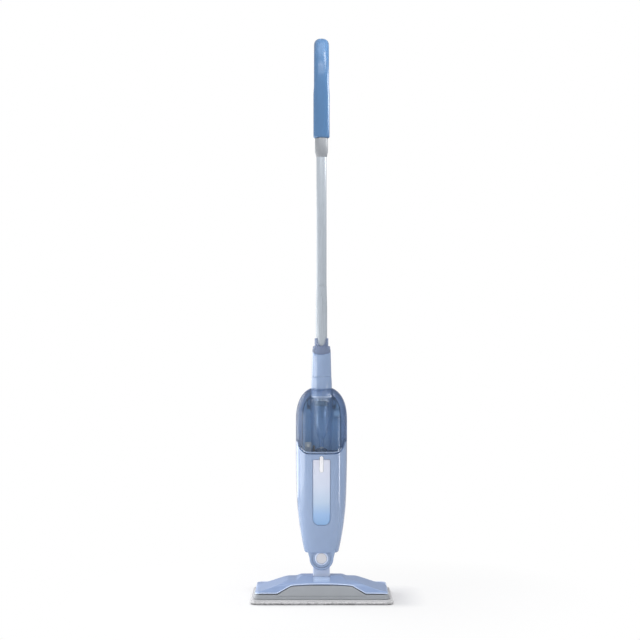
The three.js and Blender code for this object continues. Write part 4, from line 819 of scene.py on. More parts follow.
# The screws that hold the head together go up into the base; their heads face the floor
HEAD_SCREW = [(0, -0.9), (1.1, -0.9), (1.5, -2.0), (2.7, -1.9), (3.2, -1.2), (3.2, 0), (1.4, 0), (1.4, 8.5),
              (0, 9.5)]
for side, name in ((-1, "left"), (1, "right")):
    for end, where in ((-1, "front"), (1, "rear")):
        piece(f"head_screw_{name}_{where}", [moved(turned(HEAD_SCREW, 24), side * 97, end * 50, 12.3)],
              "head", ZINC_STEEL)

# ---------------------------------------------------------------- swivel knuckle

PITCH_Z, ROLL_Z = 37.0, 88.6  # heights of the pin along X and of the axis along Y
KNUCKLE_RADIUS = 17.8
BARREL = [(3.3, -16.9), (3.9, -17.5), (12.9, -17.5), (14.1, -17.0), (14.5, -15.9), (14.5, 15.9),
          (14.1, 17.0), (12.9, 17.5), (3.9, 17.5), (3.3, 16.9)]
barrel = turned(BARREL, 80, (0, PITCH_Z), "x", ring=True)
piece("swivel_barrel_smooth", [barrel], "knuckle", POWDER_BLUE, ["swivel_barrel"])

block_outline = np.vstack([[(-KNUCKLE_RADIUS, PITCH_Z), (KNUCKLE_RADIUS, PITCH_Z)],
                           arc((0, ROLL_Z), KNUCKLE_RADIUS, 0, 180, 40)])
block = plate(block_outline, -11.5, 11.5, 1.4, "y", steps=5)
saddle = rod(14.8, -30, 30, (0, PITCH_Z), "x", 80)
below_block = stacked(round_rectangle(60, 60, 1, steps=1), [(0, 20), (0, PITCH_Z + 8)])
spigot_hole = rod(5.3, -20, 20, (0, ROLL_Z))
piece("swivel_block_smooth", [block], "knuckle", PALE_BLUE, ["swivel_block"],
      holes=[saddle, below_block, spigot_hole])

# ---------------------------------------------------------------- body form

FOOT, FOOT_ROLL = 100.0, 3.0  # where the casing starts, and the height of its rolled edge
ROLL_TOP = FOOT + FOOT_ROLL
SECTION_POWER = 2.8
SEAM = 0.15  # half the gap between the two casings
DOME_START, DOME_TOP, DOME_POWER = 378.0, 453.0, 2.5
# The tank's foot, the flat half of its lower edge, the corner after it, and the horn it ends in
TANK_FOOT, TANK_FLAT, TANK_CORNER, TANK_HORN = 313.5, 25.6, 24.0, 339.0
TANK_HALF = TANK_FLAT + TANK_CORNER
TANK_BACK = 8.0
FLANGE_FACE = TANK_BACK + 0.3
# Height, half width, depth to the front and depth to the back
BODY_STATIONS = np.array([
    (100, 34, 25, 20), (103, 37, 27.5, 22), (110, 38.7, 29, 24.5), (124, 41.6, 32, 29), (141, 44.6, 34.5, 33),
    (158, 47.3, 37, 37), (176, 49.4, 39, 40), (193, 51.2, 41, 42), (225, 52.9, 44, 44), (260, 53.9, 46.5, 45),
    (308, 54.7, 50, 46), (340, 54.7, 52, 46), (378, 54.7, 52, 46)])


def body_size(z, gap=0.0):
    """Half width, front depth and back depth at heights, less a gap.

    A smooth curve through the stations, a quarter ellipse in the lowest 3 mm, and a dome above
    378 mm that shrinks as (1 - t^2.5)^(1/2.5).
    """
    z = np.asarray(z, float)
    low = np.clip(z, ROLL_TOP, DOME_START)
    t = np.clip((z - DOME_START) / (DOME_TOP - gap - DOME_START), 0, 1)
    shrink = (1 - t ** DOME_POWER) ** (1 / DOME_POWER)
    foot = 1 - np.sqrt(1 - np.clip((ROLL_TOP - z) / FOOT_ROLL, 0, 1) ** 2)
    heights, sizes = BODY_STATIONS[:, 0], BODY_STATIONS[:, 1:]
    return [np.maximum(monotone(low, heights, sizes[:, k]) - foot * (sizes[1, k] - sizes[0, k]) - gap, 0.01)
            * shrink for k in range(3)]


def body_point(angle, z, gap=0.0):
    """Point on the body's rounded section at a height: x = a |cos t|^(2/2.8), y = b |sin t|^(2/2.8)."""
    half, front, back = body_size(z, gap)
    across, behind = superellipse(angle, SECTION_POWER)
    points = np.broadcast_arrays(half * across, np.where(behind < 0, front, back) * behind, z)
    return np.stack(points, axis=-1)


def even_angles(start, end, count):
    """Angles from start to end, in radians, that step evenly along a section of 54 by 50 mm."""
    t = np.linspace(start, end, 3001)
    across, behind = superellipse(t, SECTION_POWER)
    run = lengths(np.column_stack([54 * across, 50 * behind]))
    return np.interp(np.linspace(0, run[-1], count), run, t)


def angle_at_depth(z, y, gap=0.0):
    """Angle in the right rear quarter at which the section is y behind the middle."""
    back = body_size(z, gap)[2]
    return np.arcsin(np.clip(y / np.maximum(back, 0.01), 0, 1) ** (SECTION_POWER / 2))


def section_depth(x, half, depth):
    """Depth of the section at x: (1 - |x/a|^2.8)^(1/2.8) of its depth in the middle."""
    return depth * (1 - np.clip(np.abs(x) / half, 0, 1) ** SECTION_POWER) ** (1 / SECTION_POWER)


def front_depth(x, z, gap=0.0):
    """How far the body's front lies before the middle."""
    half, front = body_size(z, gap)[:2]
    return section_depth(x, half, front)


def tank_foot(x, gap=0.0):
    """Height of the tank's lower edge at a distance from the middle: flat, a 24 mm corner, then a horn."""
    x = np.abs(x)
    corner = TANK_CORNER + gap
    lift = corner - np.sqrt(np.maximum(corner ** 2 - np.clip(x - TANK_FLAT, 0, corner) ** 2, 0))
    horn = TANK_HORN - gap + 3 * np.clip((x - TANK_HALF - gap) / 20.4, 0, 1)
    return np.where(x < TANK_HALF + gap, TANK_FOOT - gap + lift, horn)


def climb(start, top, inside):
    """Height at which a test first fails, for each column, found by halving between two heights."""
    low, high = start, top
    for _ in range(40):
        middle = (low + high) / 2
        further = inside(middle)
        low, high = np.where(further, middle, low), np.where(further, high, middle)
    return low


def rise_to(radius, angle, gap=0.0):
    """Height at which the dome's section has drawn in to a radius, for each angle."""
    return climb(np.full(len(angle), DOME_START), np.full(len(angle), DOME_TOP - gap - 1e-4),
                 lambda z: np.linalg.norm(body_point(angle, z, gap)[..., :2], axis=-1) > radius)


def foot_rows(top, count):
    """Heights from the body's foot up: close together round its rolled edge, then even."""
    roll = ROLL_TOP - FOOT_ROLL * np.sin(np.linspace(np.pi / 2, 0, 6))
    return np.concatenate([roll, np.linspace(ROLL_TOP, top, count)[1:]])


def ear(front, rear):
    """Ear about the roll axis: a round plate that widens up into the casing, with rolled rims."""
    shape = np.vstack([[(30.5, 108), (-30.5, 108)], arc((0, ROLL_Z), 25.5, 180, 360, 48)])
    return plate(shape, front, rear, 1.6, "y", steps=5)


def floored(grid, y_end):
    """Grid with rows before it that shut the foot: its lowest row drawn back to a line at depth y_end."""
    rows = []
    for share in (0.0, 0.3, 0.6, 0.85):
        row = grid[0].copy()
        row[:, 1] = y_end + (row[:, 1] - y_end) * share
        rows.append(row)
    return np.concatenate([rows, grid])


KNUCKLE_SPACE = rod(KNUCKLE_RADIUS + 0.5, -12, 12, (0, ROLL_Z), sides=72)

# ---------------------------------------------------------------- front casing

# Plates inset in the body's front: half width, foot and top heights, radii of the corners, and how
# many rows round the lower corners, between them, and round the upper ones
PANEL = {"half": 18.3, "foot": 161.5, "top": 301.0, "corner": 13.0, "top_corner": 3.0, "rows": (16, 60, 8)}
LENS = {"half": 3.8, "foot": 274.0, "top": 308.5, "corner": 3.8, "top_corner": 3.8, "rows": (10, 16, 10)}


def front_sheet():
    """Front half of the body: columns step round the section and end at the tank's lower edge."""
    t = even_angles(np.pi, 2 * np.pi, 150)
    top = np.full(150, 330.0)
    for _ in range(30):
        top = 0.5 * top + 0.5 * tank_foot(body_point(t, top)[:, 0], 1.5)
    share = np.concatenate([np.linspace(0, 0.97, 110), np.linspace(0.975, 1, 6)])[:, None]
    rows = body_point(t[None, :], ROLL_TOP + (top[None, :] - ROLL_TOP) * share)
    roll = np.stack([body_point(t, np.full(150, h)) for h in foot_rows(110, 2)[:5]])
    grid = floored(np.concatenate([roll, rows]), -SEAM)
    grid[..., 1] = np.minimum(grid[..., 1], -SEAM)
    return surface(grid)


def inset_plate(shape, gap=0.0):
    """Heights and half widths of an upright plate whose corners are quarter circles, grown by a gap."""
    low, high = shape["foot"] - gap, shape["top"] + gap
    a, b = shape["corner"] + gap, shape["top_corner"] + gap
    lower, between, upper = (np.linspace(0, 1, count) for count in shape["rows"])
    z = np.concatenate([low + a * (1 - np.cos(lower * np.pi / 2)),
                        (low + a + (high - b - low - a) * between)[1:-1],
                        high - b + b * np.sin(upper * np.pi / 2)])
    foot_cut = a - np.sqrt(np.maximum(a * a - np.clip(low + a - z, 0, a) ** 2, 0))
    top_cut = b - np.sqrt(np.maximum(b * b - np.clip(z - high + b, 0, b) ** 2, 0))
    return z, np.maximum(shape["half"] + gap - foot_cut - top_cut, 0)


def hugging(rows, half, sink, thick, edge, columns=31):
    """Plate that hugs the body's front: a grid x = w(z) u over its outline, sunk by a distance.

    Its rim rolls back by a quarter circle, and a second grid a thickness behind closes it.
    """
    u = np.sin(np.linspace(-np.pi / 2, np.pi / 2, columns))
    x = half[:, None] * u[None, :]
    z = np.broadcast_to(rows[:, None], x.shape)
    rim = np.minimum(half[:, None] * (1 - np.abs(u))[None, :],
                     np.minimum(rows - rows[0], rows[-1] - rows)[:, None])
    rim = np.clip(rim, 0, edge)
    roll = edge - np.sqrt(np.maximum(edge ** 2 - (edge - rim) ** 2, 0))
    depth = -front_depth(x, z, sink)
    return closed_between(np.stack([x, depth + roll, z], axis=-1), np.stack([x, depth + thick, z], axis=-1))


def hug_hole(rows, half, sink):
    """Cutter over an outline, from a distance under the body's front to well before it."""
    x = np.maximum(half, 0.02)[:, None] * np.linspace(-1, 1, 25)[None, :]
    z = np.broadcast_to(rows[:, None], x.shape)
    return closed_between(np.stack([x, -front_depth(x, z, sink), z], axis=-1),
                          np.stack([x, np.full_like(x, -75.0), z], axis=-1))


pocket = hug_hole(*inset_plate(PANEL, 0.9), 2.5)
lens_pocket = hug_hole(*inset_plate(LENS, 0.6), 4.0)
piece("front_casing_shell", [front_sheet()], "body", POWDER_BLUE, ["front_casing"], wall=3.0,
      out_from=(0, 0, 220), holes=[KNUCKLE_SPACE, pocket, lens_pocket])
cap_recess = rod(14.7, -40, -22, (0, ROLL_Z), sides=72)
ear_groove = turned([(18.5, -26), (20.3, -26), (20.3, -21.6), (18.5, -21.6)], 72, (0, ROLL_Z), "y",
                    ring=True)
piece("front_ear", [ear(-24, -12)], "body", POWDER_BLUE, holes=[cap_recess, ear_groove])

PANEL_GLOSS = lacquered_panel(PANEL["foot"], PANEL["top"])
lens_ends = (LENS["top"] - LENS["corner"], LENS["foot"] + LENS["corner"])
lens_cut = stacked(np.vstack([arc((0, z), LENS["half"] + 0.3, start, start + 180, 20)
                              for z, start in zip(lens_ends, (0, 180))]), [(0, -80), (0, -20)], "y")
piece("front_panel_gloss", [hugging(*inset_plate(PANEL), 1.5, 0.7, 0.3)], "body", PANEL_GLOSS,
      ["front_panel"], holes=[lens_cut])
piece("indicator_lens_pill", [hugging(*inset_plate(LENS), 0.2, 3.2, 0.7, 17)], "body", LENS_WHITE,
      ["indicator_lens"])

CAP_DISC = [(0, -22.3), (10.9, -22.3), (10.9, -25.0), (10.6, -25.6), (9.8, -25.85), (6, -26.0), (0, -26.0)]
CAP_RING = [(11.2, -22.3), (14.4, -22.3), (14.4, -24.2), (13.9, -24.9), (12.9, -25.3), (11.6, -25.2),
            (11.2, -24.7)]
REAR_CAP = [(0, 22.3), (8.7, 22.3), (9.0, 22.5), (8.6, 23.2), (7.6, 23.5), (0, 23.5)]
cap_disc = turned(CAP_DISC, 72, (0, ROLL_Z), "y")
cap_ring = turned(CAP_RING, 72, (0, ROLL_Z), "y", ring=True)
piece("pivot_cap_disc", [cap_disc], "body", WHITE_ABS, ["pivot_cap_front"])
piece("pivot_cap_ring", [cap_ring], "body", PALE_BLUE)

# ---------------------------------------------------------------- rear casing

HORN_TOP = TANK_HORN + 0.55
ARCH_START, NECK_OPENING = 430, 21.9  # where the dome's last rows start, and the radius they end at


def rear_sheet():
    """Rear half of the body: from seam to seam below the tank's horns, from the tank's back plane above."""
    rows = np.concatenate([foot_rows(HORN_TOP - 0.05, 110), [HORN_TOP + 0.05],
                           np.linspace(HORN_TOP, ARCH_START, 46)[1:]])
    grid = []
    for z in rows:
        start = float(angle_at_depth(z, SEAM if z < HORN_TOP else FLANGE_FACE))
        grid.append(body_point(even_angles(start, np.pi - start, 130), np.full(130, z)))
    start = float(angle_at_depth(ARCH_START, FLANGE_FACE))
    t = even_angles(start, np.pi - start, 130)
    top = rise_to(NECK_OPENING, t)
    for share in np.sin(np.linspace(0, np.pi / 2, 22))[1:]:
        row = body_point(t, ARCH_START + (top - ARCH_START) * share)
        row[:, 1] = np.maximum(row[:, 1], FLANGE_FACE)
        grid.append(row)
    return surface(floored(np.stack(grid), SEAM))


SCREWS = [(-36, 262), (-27, 119), (36, 262), (27, 119)]
SCREW_WELL = 3.5
latch_slot = stacked(round_rectangle(13, 14.3, 1.2, 3, centre=(0, 411.35)), [(0, 35), (0, 60)], "y")
outlet = rod(7.3, 36, 60, (0, 290), sides=40)
wells = [rod(SCREW_WELL, 18, 60, place) for place in SCREWS]
piece("rear_casing_shell", [rear_sheet()], "body", POWDER_BLUE, ["rear_casing"], wall=3.0,
      out_from=(0, 0, 260), holes=[KNUCKLE_SPACE, latch_slot, outlet] + wells, even=False)


def boss(x, z):
    """Moulded tube behind a screw's well: a ring from the screw's head out to the casing's wall."""
    half, _, back = body_size(z)
    rear = float(section_depth(x, half, back)) - 1.0
    profile = [(SCREW_WELL, 19.7), (SCREW_WELL + 1.5, 19.7), (SCREW_WELL + 1.5, rear), (SCREW_WELL, rear)]
    return turned(profile, 32, (x, z), "y", ring=True)


def arch(foot, gap, wide, rise):
    """Line up the right side of the tank's bay, over its dome and down the left.

    It keeps a gap to the body's side, then follows |x/wide|^2.5 + |z/rise|^2.5 = 1.
    """
    straight = np.linspace(foot, DOME_START, 24)[:-1]
    across, up = superellipse(np.linspace(0, np.pi / 2, 60), DOME_POWER)
    right = np.vstack([np.column_stack([body_size(straight)[0] - gap, straight]),
                       np.column_stack([wide * across, DOME_START + rise * up])])
    return np.vstack([right, right[-2::-1] * (-1, 1)])


def flange():
    """Band that faces the tank: straight up each side and over the dome, 11 mm wide, 2.4 mm thick."""
    outer, inner = arch(313.2, 1.5, 53.2, 73.8), arch(313.2, 12.5, 42.2, 62.5)
    eased = inner + (outer - inner) * 0.03
    levels = ((outer, FLANGE_FACE), (eased, FLANGE_FACE), (inner, FLANGE_FACE + 0.3),
              (inner, FLANGE_FACE + 2.4), (outer, FLANGE_FACE + 2.4))
    return surface(np.stack([along(*line.T, y, "y") for line, y in levels], axis=1),
                   wrap_columns=True, caps=True)


def neck():
    """Neck under the sleeve: a slow barrel of radius 21.5 to 22.3 to 21.3, open above, floor below."""
    z = np.linspace(431, 473.9, 24)
    outer = monotone(z, [431, 442, 453, 464, 474.7], [21.5, 22.0, 22.3, 22.0, 21.3])
    profile = [(4.6, 431.0), (20.9, 431.0), (21.4, 431.4)] + list(zip(outer[1:], z[1:]))
    profile += [(21.0, 474.5), (20.6, 474.7), (15.9, 474.7), (15.3, 474.2), (15.3, 435.0), (4.6, 435.0)]
    return turned(profile, 96, ring=True)


def bay_shadow_cord():
    """Round dark cord in the corner between the flange and the bay's back wall, a painted shadow line: up one
    side, over, down.
    """
    return tube(along(*arch(317, 13.2, 41.5, 61.7).T, 9.9, "y"), 1.0, 10)


ear_core = rod(6.0, 14.5, 30, (0, ROLL_Z))
piece("rear_ear", [ear(12, 22)], "body", POWDER_BLUE, holes=[ear_core])
piece("tank_flange", [flange()] + [boss(x, z) for x, z in SCREWS], "body", POWDER_BLUE)
piece("neck_barrel", [neck()], "body", POWDER_BLUE)
# Painted shadow: the dark cord stands for the shadow gap between the flange and the bay's back wall
piece("tank_bay_shadow_cord", [bay_shadow_cord()], "body", SHADOW_LINE_NAVY)
# Partly painted highlight: the white rim at the neck's foot also stands for the bright line across the dome
NECK_RIM = [(20.9, 431.2), (22.0, 431.2), (22.35, 431.6), (22.35, 433.2), (22.0, 433.6), (20.9, 433.6)]
piece("neck_rim_white", [turned(NECK_RIM, 96, ring=True)], "body", HIGHLIGHT_RIM_WHITE)


def bay_liner():
    """Back wall of the tank's bay: under the flange's arch, hollowed as y = 11 + 13 (1 - u^2)."""
    straight = np.linspace(316, DOME_START, 30)[:-1]
    a = np.linspace(0, np.pi / 2, 30)
    z = np.concatenate([straight, DOME_START + 61.2 * np.sin(a) ** (2 / DOME_POWER)])
    half = np.concatenate([np.interp(straight, [316, 340], [40.4, 41.0]),
                           41.0 * np.maximum(np.cos(a), 0.001) ** (2 / DOME_POWER)])[:, None]
    x = half * np.linspace(-1, 1, 49)
    y = 11 + 13 * (1 - (x / 41.2) ** 2) * np.clip(half / 41, 0, 1)
    return surface(np.stack([x, y, np.broadcast_to(z[:, None], x.shape)], axis=-1))


CATCH_X, CATCH_HALF = 27, 2.6  # the two catches of the tank: how far out they are, and half their width
latch_gates = [stacked(round_rectangle(8, 40, 1, 2, centre=(side * CATCH_X, 20)), [(0, 404), (0, 434)])
               for side in (-1, 1)]
piece("tank_bay_liner", [bay_liner()], "body", BAY_BLUE, wall=1.2,
      out_from=(0, 60, 370), holes=latch_gates)
piece("pivot_cap_rear_disc", [turned(REAR_CAP, 48, (0, ROLL_Z), "y")], "body", WHITE_ABS,
      ["pivot_cap_rear"])


def cradle():
    """Floor under the tank: the body's section 3.4 mm in, between two rolled rims."""
    t = even_angles(0, 2 * np.pi, 121)[:-1]
    shape = body_point(t, np.full(120, 311.0), 3.4)[:, :2]
    return stacked(shape, [(0.4, 309.3), (0, 309.7), (0, 312.5), (0.4, 312.9)])


nozzle_hole = rod(5.6, 301, 321, axis="z")
piece("tank_cradle_plate", [cradle()], "body", POWDER_BLUE, ["tank_cradle"],
      holes=[nozzle_hole])

# ---------------------------------------------------------------- neck sleeve, gland rings and pole

SLOPE, SLANT_Y = 14 / 39.6, 19.8  # the sleeve's top rises 14 mm from its front to its back, 39.6 mm on
SLEEVE_TOP, GLAND_GAP = 522.0, 0.6
BUTTON_Z = 498


def slanted(level):
    """Height of a plane that rises to the back, given its height at the sleeve's front."""
    return lambda x, y: level + SLOPE * (y + SLANT_Y)


def level_at(height):
    """Height of a level plane."""
    return lambda x, y: np.full_like(x, height)


def sleeve(r_out, r_in, foot_at, top_at, shares, shares_in, trims, sides=96):
    """Turned wall between a foot and a top whose heights vary round it; its radii change evenly upwards.

    Shares of the height give its rows up the outside and down the inside, and trims draw in the last
    rows of the outside.
    """
    t = np.linspace(0, 2 * np.pi, sides, endpoint=False)
    rows = []
    for radii, up, cuts in ((r_out, shares, trims), (r_in, shares_in, ())):
        cuts = np.concatenate([np.zeros(len(up) - len(cuts)), cuts])
        for share, cut in zip(up, cuts):
            r = radii[0] + (radii[1] - radii[0]) * share
            x, y = r * np.cos(t), r * np.sin(t)
            z = foot_at(x, y) + (top_at(x, y) - foot_at(x, y)) * share
            rows.append(np.column_stack([(r - cut) * np.cos(t), (r - cut) * np.sin(t), z]))
    return surface(np.stack(rows), wrap_rows=True, wrap_columns=True)


SLEEVE_ROWS = np.concatenate([np.linspace(0, 0.95, 16), [0.975, 1]])
neck_sleeve = sleeve((21.3, 19.8), (14.0, 12.6), level_at(475.0), slanted(SLEEVE_TOP), SLEEVE_ROWS,
                     SLEEVE_ROWS[::-1], (0.12, 0.5))
piece("neck_sleeve_slant", [neck_sleeve], "body", POWDER_BLUE, ["neck_sleeve"],
      holes=[rod(4.8, 15, 30, (0, BUTTON_Z))])


def gland_ring(r_out, r_in, top_at, sides, rows):
    """Ring that stands on the sleeve's slanted top, with an eased outer rim."""
    even = np.linspace(0, 1, rows)
    return sleeve(r_out, r_in, slanted(SLEEVE_TOP + GLAND_GAP), top_at, [*even[:-1], 0.985, 1], even[::-1],
                  (0.4,), sides)


piece("gland_ring_outer", [gland_ring((19.6, 18.2), (15.1, 15.1), level_at(540.0), 96, 14)], "body",
      SMOKY_RING, ["gland_outer_ring"])


def scoop_top(x, y):
    """Rim of the inner ring: level behind, dipping in a U 20 mm wide at the front."""
    dip = 16 * np.sqrt(np.clip(1 - (x / 10.5) ** 2, 0, 1)) * smooth_step(-y, 0, 9)
    return 557 - dip


piece("gland_ring_scoop", [gland_ring((14.7, 14.7), (12.45, 12.45), scoop_top, 144, 18)], "body",
      SMOKY_RING, ["gland_scoop"])

POLE_RADIUS, UPPER_RADIUS, POLE_BORE = 12.15, 10.85, 9.65
swage = np.linspace(0, 1, 18)
swage_radius = POLE_RADIUS - smooth_step(swage, 0, 1)
lower_profile = ([(POLE_BORE, 490.0), (POLE_RADIUS - 0.45, 490.0), (POLE_RADIUS, 490.5)]
                 + list(zip(swage_radius, 617 + 52 * swage)) + [(10.95, 669.0), (POLE_BORE, 669.0)])
piece("lower_pole_tube", [turned(lower_profile, 80, ring=True)], "handle", SILVER_TUBE, ["lower_pole"])
upper_profile = [(POLE_BORE, 669.3), (10.6, 669.3), (UPPER_RADIUS, 669.6), (UPPER_RADIUS, 1039.4),
                 (10.6, 1039.8), (POLE_BORE, 1039.8)]
piece("upper_pole_tube", [turned(upper_profile, 80, ring=True)], "handle", SILVER_TUBE, ["upper_pole"])

# ---------------------------------------------------------------- handle

HANDLE_FOOT = 985.8
# Middle line of the loop from its foot, as (depth, height): up the front, over and down into the stem
LOOP = [(0, 0), (0, 74), (0, 136), (12, 180), (43, 207.5), (74, 187), (84, 144), (70, 91), (38, 50), (8, 27)]
GRIP_DEEP, GRIP_HALF = 14.5, 16.3


def grip_loop():
    """Loop handle: a superellipse of 29 by 32.6 mm carried up the front, over and back into its stem.

    Its half width grows by 7.4% below 90 mm above the foot, and its foot is rounded by a quarter circle.
    """
    path = smooth_path(LOOP, 260)
    ahead = np.gradient(path, axis=0)
    ahead /= np.linalg.norm(ahead, axis=1, keepdims=True)
    deep, wide = superellipse(np.linspace(0, 2 * np.pi, 72, endpoint=False), 2.3)
    edge = 2.2
    near = np.clip(lengths(path), 0, edge)
    shrink = edge - np.sqrt(np.maximum(edge ** 2 - (edge - near) ** 2, 0))
    grow = 1 + 0.074 * (1 - smooth_step(path[:, 1], 90, 116))
    half = 1 - shrink / 16
    y = path[:, :1] + ahead[:, 1:] * GRIP_DEEP * deep * half[:, None]
    z = HANDLE_FOOT + path[:, 1:] - ahead[:, :1] * GRIP_DEEP * deep * half[:, None]
    x = GRIP_HALF * wide[None, :] * (grow * half)[:, None]
    return surface(np.stack([x, y, z], axis=-1), wrap_columns=True, caps=True)


def remeshed(name, parts, voxel, smooth, material):
    """Overlapping solids made one skin on a lattice of voxels, then relaxed so that their joint blends."""
    made = piece(name, parts, None, material)
    fuse = made.modifiers.new("fuse", "REMESH")
    fuse.mode, fuse.voxel_size = "VOXEL", voxel * MM
    relax = made.modifiers.new("relax", "SMOOTH")
    relax.factor, relax.iterations = 0.5, smooth
    settle(made)
    points = np.empty(len(made.data.vertices) * 3)
    made.data.vertices.foreach_get("co", points)
    faces = [list(f.vertices) for f in made.data.polygons]
    bpy.data.objects.remove(made)
    return points.reshape(-1, 3) / MM, faces


grip = remeshed("grip_blank", [grip_loop()], 1.3, 7, MID_BLUE)
socket = rod(11.15, 970, 1040.2, axis="z", sides=64)
piece("loop_handle", [grip], "handle", MID_BLUE, ["handle_half_left", "handle_half_right"],
      holes=[socket], sharp=50)
COLLAR = [(11.15, 945.5), (11.2, 945.5), (11.5, 945.9), (12.6, 950.6), (13.6, 954.6), (13.9, 956.2),
          (13.9, 984.9), (13.5, 985.5), (11.15, 985.5)]
piece("handle_collar_grey", [turned(COLLAR, 88, ring=True)], "handle", GREY_PP, ["handle_collar"])


def side_plate(corners, half, edge):
    """Outline in depth and height, its corners rounded, carried across the mop with rolled rims."""
    return plate(rounded(corners, steps=6), -half, half, edge, "x")


HOOK_Z, HOOK_Y = 965.8, 16.2  # height and depth of the upper hook's pivot, behind the collar
HOOK_OUTLINE = [(0, -5, 1.5), (20, -4.4, 8), (42, -3.5, 6), (42, 22, 3.4), (35, 22, 3.4), (35, 5.5, 4),
                (0, 5, 1.5)]
upper_hook = side_plate([(HOOK_Y + y, HOOK_Z + z, radius) for y, z, radius in HOOK_OUTLINE], 8, 1.5)
hook_pivot = rod(2.8, 14.3, 18, (0, HOOK_Z))
piece("upper_cord_hook_arm", [upper_hook, hook_pivot], "cord_hook", GREY_PP, ["upper_cord_hook"])
WALL_Y = 46.3  # where the lower hook's plate stands against the casing's back
LOWER_HOOK_OUTLINE = [(0, 338, 1), (2.6, 338, 1), (2.6, 352, 3), (6.6, 356, 3), (30, 356, 3), (30, 342, 2.4),
                      (38, 342, 3), (38, 366, 6), (6.6, 366, 3), (2.6, 370, 3), (2.6, 376, 1), (0, 376, 1)]
lower_hook = side_plate([(WALL_Y + y, z, radius) for y, z, radius in LOWER_HOOK_OUTLINE], 11, 1.2)
piece("lower_cord_hook_arm", [lower_hook], "body", POWDER_BLUE, ["lower_cord_hook"])

BUTTON = [(0, 17.8), (4.3, 17.8), (4.5, 18.0), (4.5, 22.2), (4.1, 22.7), (3.0, 22.9), (2.2, 22.6),
          (0, 22.45)]
piece("pole_button_cap", [turned(BUTTON, 48, (0, BUTTON_Z), "y")], "pole_button", GREY_PP,
      ["pole_button"])

# ---------------------------------------------------------------- water tank

FRONT_COLUMNS, SIDE_COLUMNS = 64, 12
SIDE_SHARE = np.linspace(0, 1, SIDE_COLUMNS + 1)[1:]
HORN_ROW = TANK_HORN + 0.4  # rows above it follow the body's whole section
CHANNEL = 19.5  # radius of the channel up the tank that clears the pump's cylinder
NECK_CLEAR = 22.8


def tank_row(z):
    """Right half of the tank's outer section at a height: front arc, then side, then the back plane.

    Below the horns the side is the upright wall at the tank's outline; above them it is the body's
    own section, run round to 8 mm behind the middle.
    """
    half = body_size(z)[0]
    drop = max(TANK_FOOT + TANK_CORNER - z, 0.0)
    full = z > HORN_ROW
    width = TANK_HALF if full else TANK_FLAT + np.sqrt(max(TANK_CORNER ** 2 - drop ** 2, 0.0))
    end = -np.arccos(min(width / float(half), 1.0) ** (SECTION_POWER / 2))
    front = body_point(even_angles(-np.pi / 2, end, FRONT_COLUMNS), np.full(FRONT_COLUMNS, z))
    if full:
        rear = float(angle_at_depth(z, TANK_BACK))
        side = body_point(end + (rear - end) * SIDE_SHARE, np.full(SIDE_COLUMNS, z))
    else:
        side = along(width, front[-1, 1] + (TANK_BACK - front[-1, 1]) * SIDE_SHARE, z, "z")
    return np.vstack([front, side])


def clear_of_neck(points):
    """Distance from the neck's U-shaped channel, whose axis runs up the middle and whose arms run back."""
    return np.where(points[:, 1] > 0, np.abs(points[:, 0]), np.hypot(points[:, 0], points[:, 1]))


def dome_rows(shares):
    """Rows over the dome: each column climbs until it meets the neck's channel, 22.8 mm out."""
    widest = BODY_STATIONS[-1, 1]
    fixed = even_angles(-np.pi / 2, -np.arccos((TANK_HALF / widest) ** (SECTION_POWER / 2)), FRONT_COLUMNS)

    def at(z):
        """Points of every column at its own height."""
        rear = angle_at_depth(z[FRONT_COLUMNS:], TANK_BACK)
        return body_point(np.concatenate([fixed, fixed[-1] + (rear - fixed[-1]) * SIDE_SHARE]), z)

    count = FRONT_COLUMNS + SIDE_COLUMNS
    top = climb(np.full(count, 400.0), np.full(count, DOME_TOP - 0.01),
                lambda z: clear_of_neck(at(z)) > NECK_CLEAR)
    return [at(DOME_START + (top - DOME_START) * share) for share in shares], at(top)


def tank_form():
    """Tank as a C-shaped solid: each column is a loop up its outer wall and down the pump's channel."""
    corner = TANK_FOOT + TANK_CORNER - TANK_CORNER * np.cos(np.linspace(0.0, np.pi / 2, 14))
    horn = TANK_HORN + np.array([-0.4, 0.0, 0.75])
    heights = np.concatenate([corner, horn, np.linspace(342, DOME_START, 18)])
    rows = [tank_row(float(z)) for z in heights]
    over, top = dome_rows(np.sin(np.linspace(0, np.pi / 2, 46))[1:])
    rows += over
    phi = np.arctan2(top[:, 1], top[:, 0])
    before = top[:, 1] < 0
    for radius, height in ((NECK_CLEAR, top[:, 2] - 0.3), (NECK_CLEAR, 431.6), (NECK_CLEAR - 0.3, 430.7),
                           (CHANNEL + 0.3, 430.4), (CHANNEL, 430.0), (CHANNEL, 400.0), (CHANNEL, 370.0),
                           (CHANNEL, 340.0), (CHANNEL, TANK_FOOT + 0.6), (CHANNEL + 0.3, TANK_FOOT)):
        x = np.where(before, radius * np.cos(phi), radius)
        y = np.where(before, radius * np.sin(phi), top[:, 1])
        y[-1] = TANK_BACK
        rows.append(along(x, y, height, "z"))
    half = np.stack(rows)
    half[..., 1] = np.minimum(half[..., 1], TANK_BACK)
    mirrored = half[:, :0:-1] * (-1, 1, 1)
    whole = np.concatenate([mirrored, half], axis=1).transpose(1, 0, 2)
    return surface(whole, wrap_columns=True, caps=True)


def box_part(low, high, edge=0.3):
    """Upright block with rolled rims."""
    low, high = np.array(low, float), np.array(high, float)
    size, centre = (high - low)[:2], (low + high)[:2] / 2
    shape = round_rectangle(*size, min(0.6, size.min() / 2.2), 4, centre=centre)
    return plate(shape, low[2], high[2], edge, "z", steps=3)


def catch_part(side, near, far, low, high):
    """Block of one catch of the tank, from depth near to depth far."""
    middle = side * CATCH_X
    return box_part((middle - CATCH_HALF, near, low), (middle + CATCH_HALF, far, high))


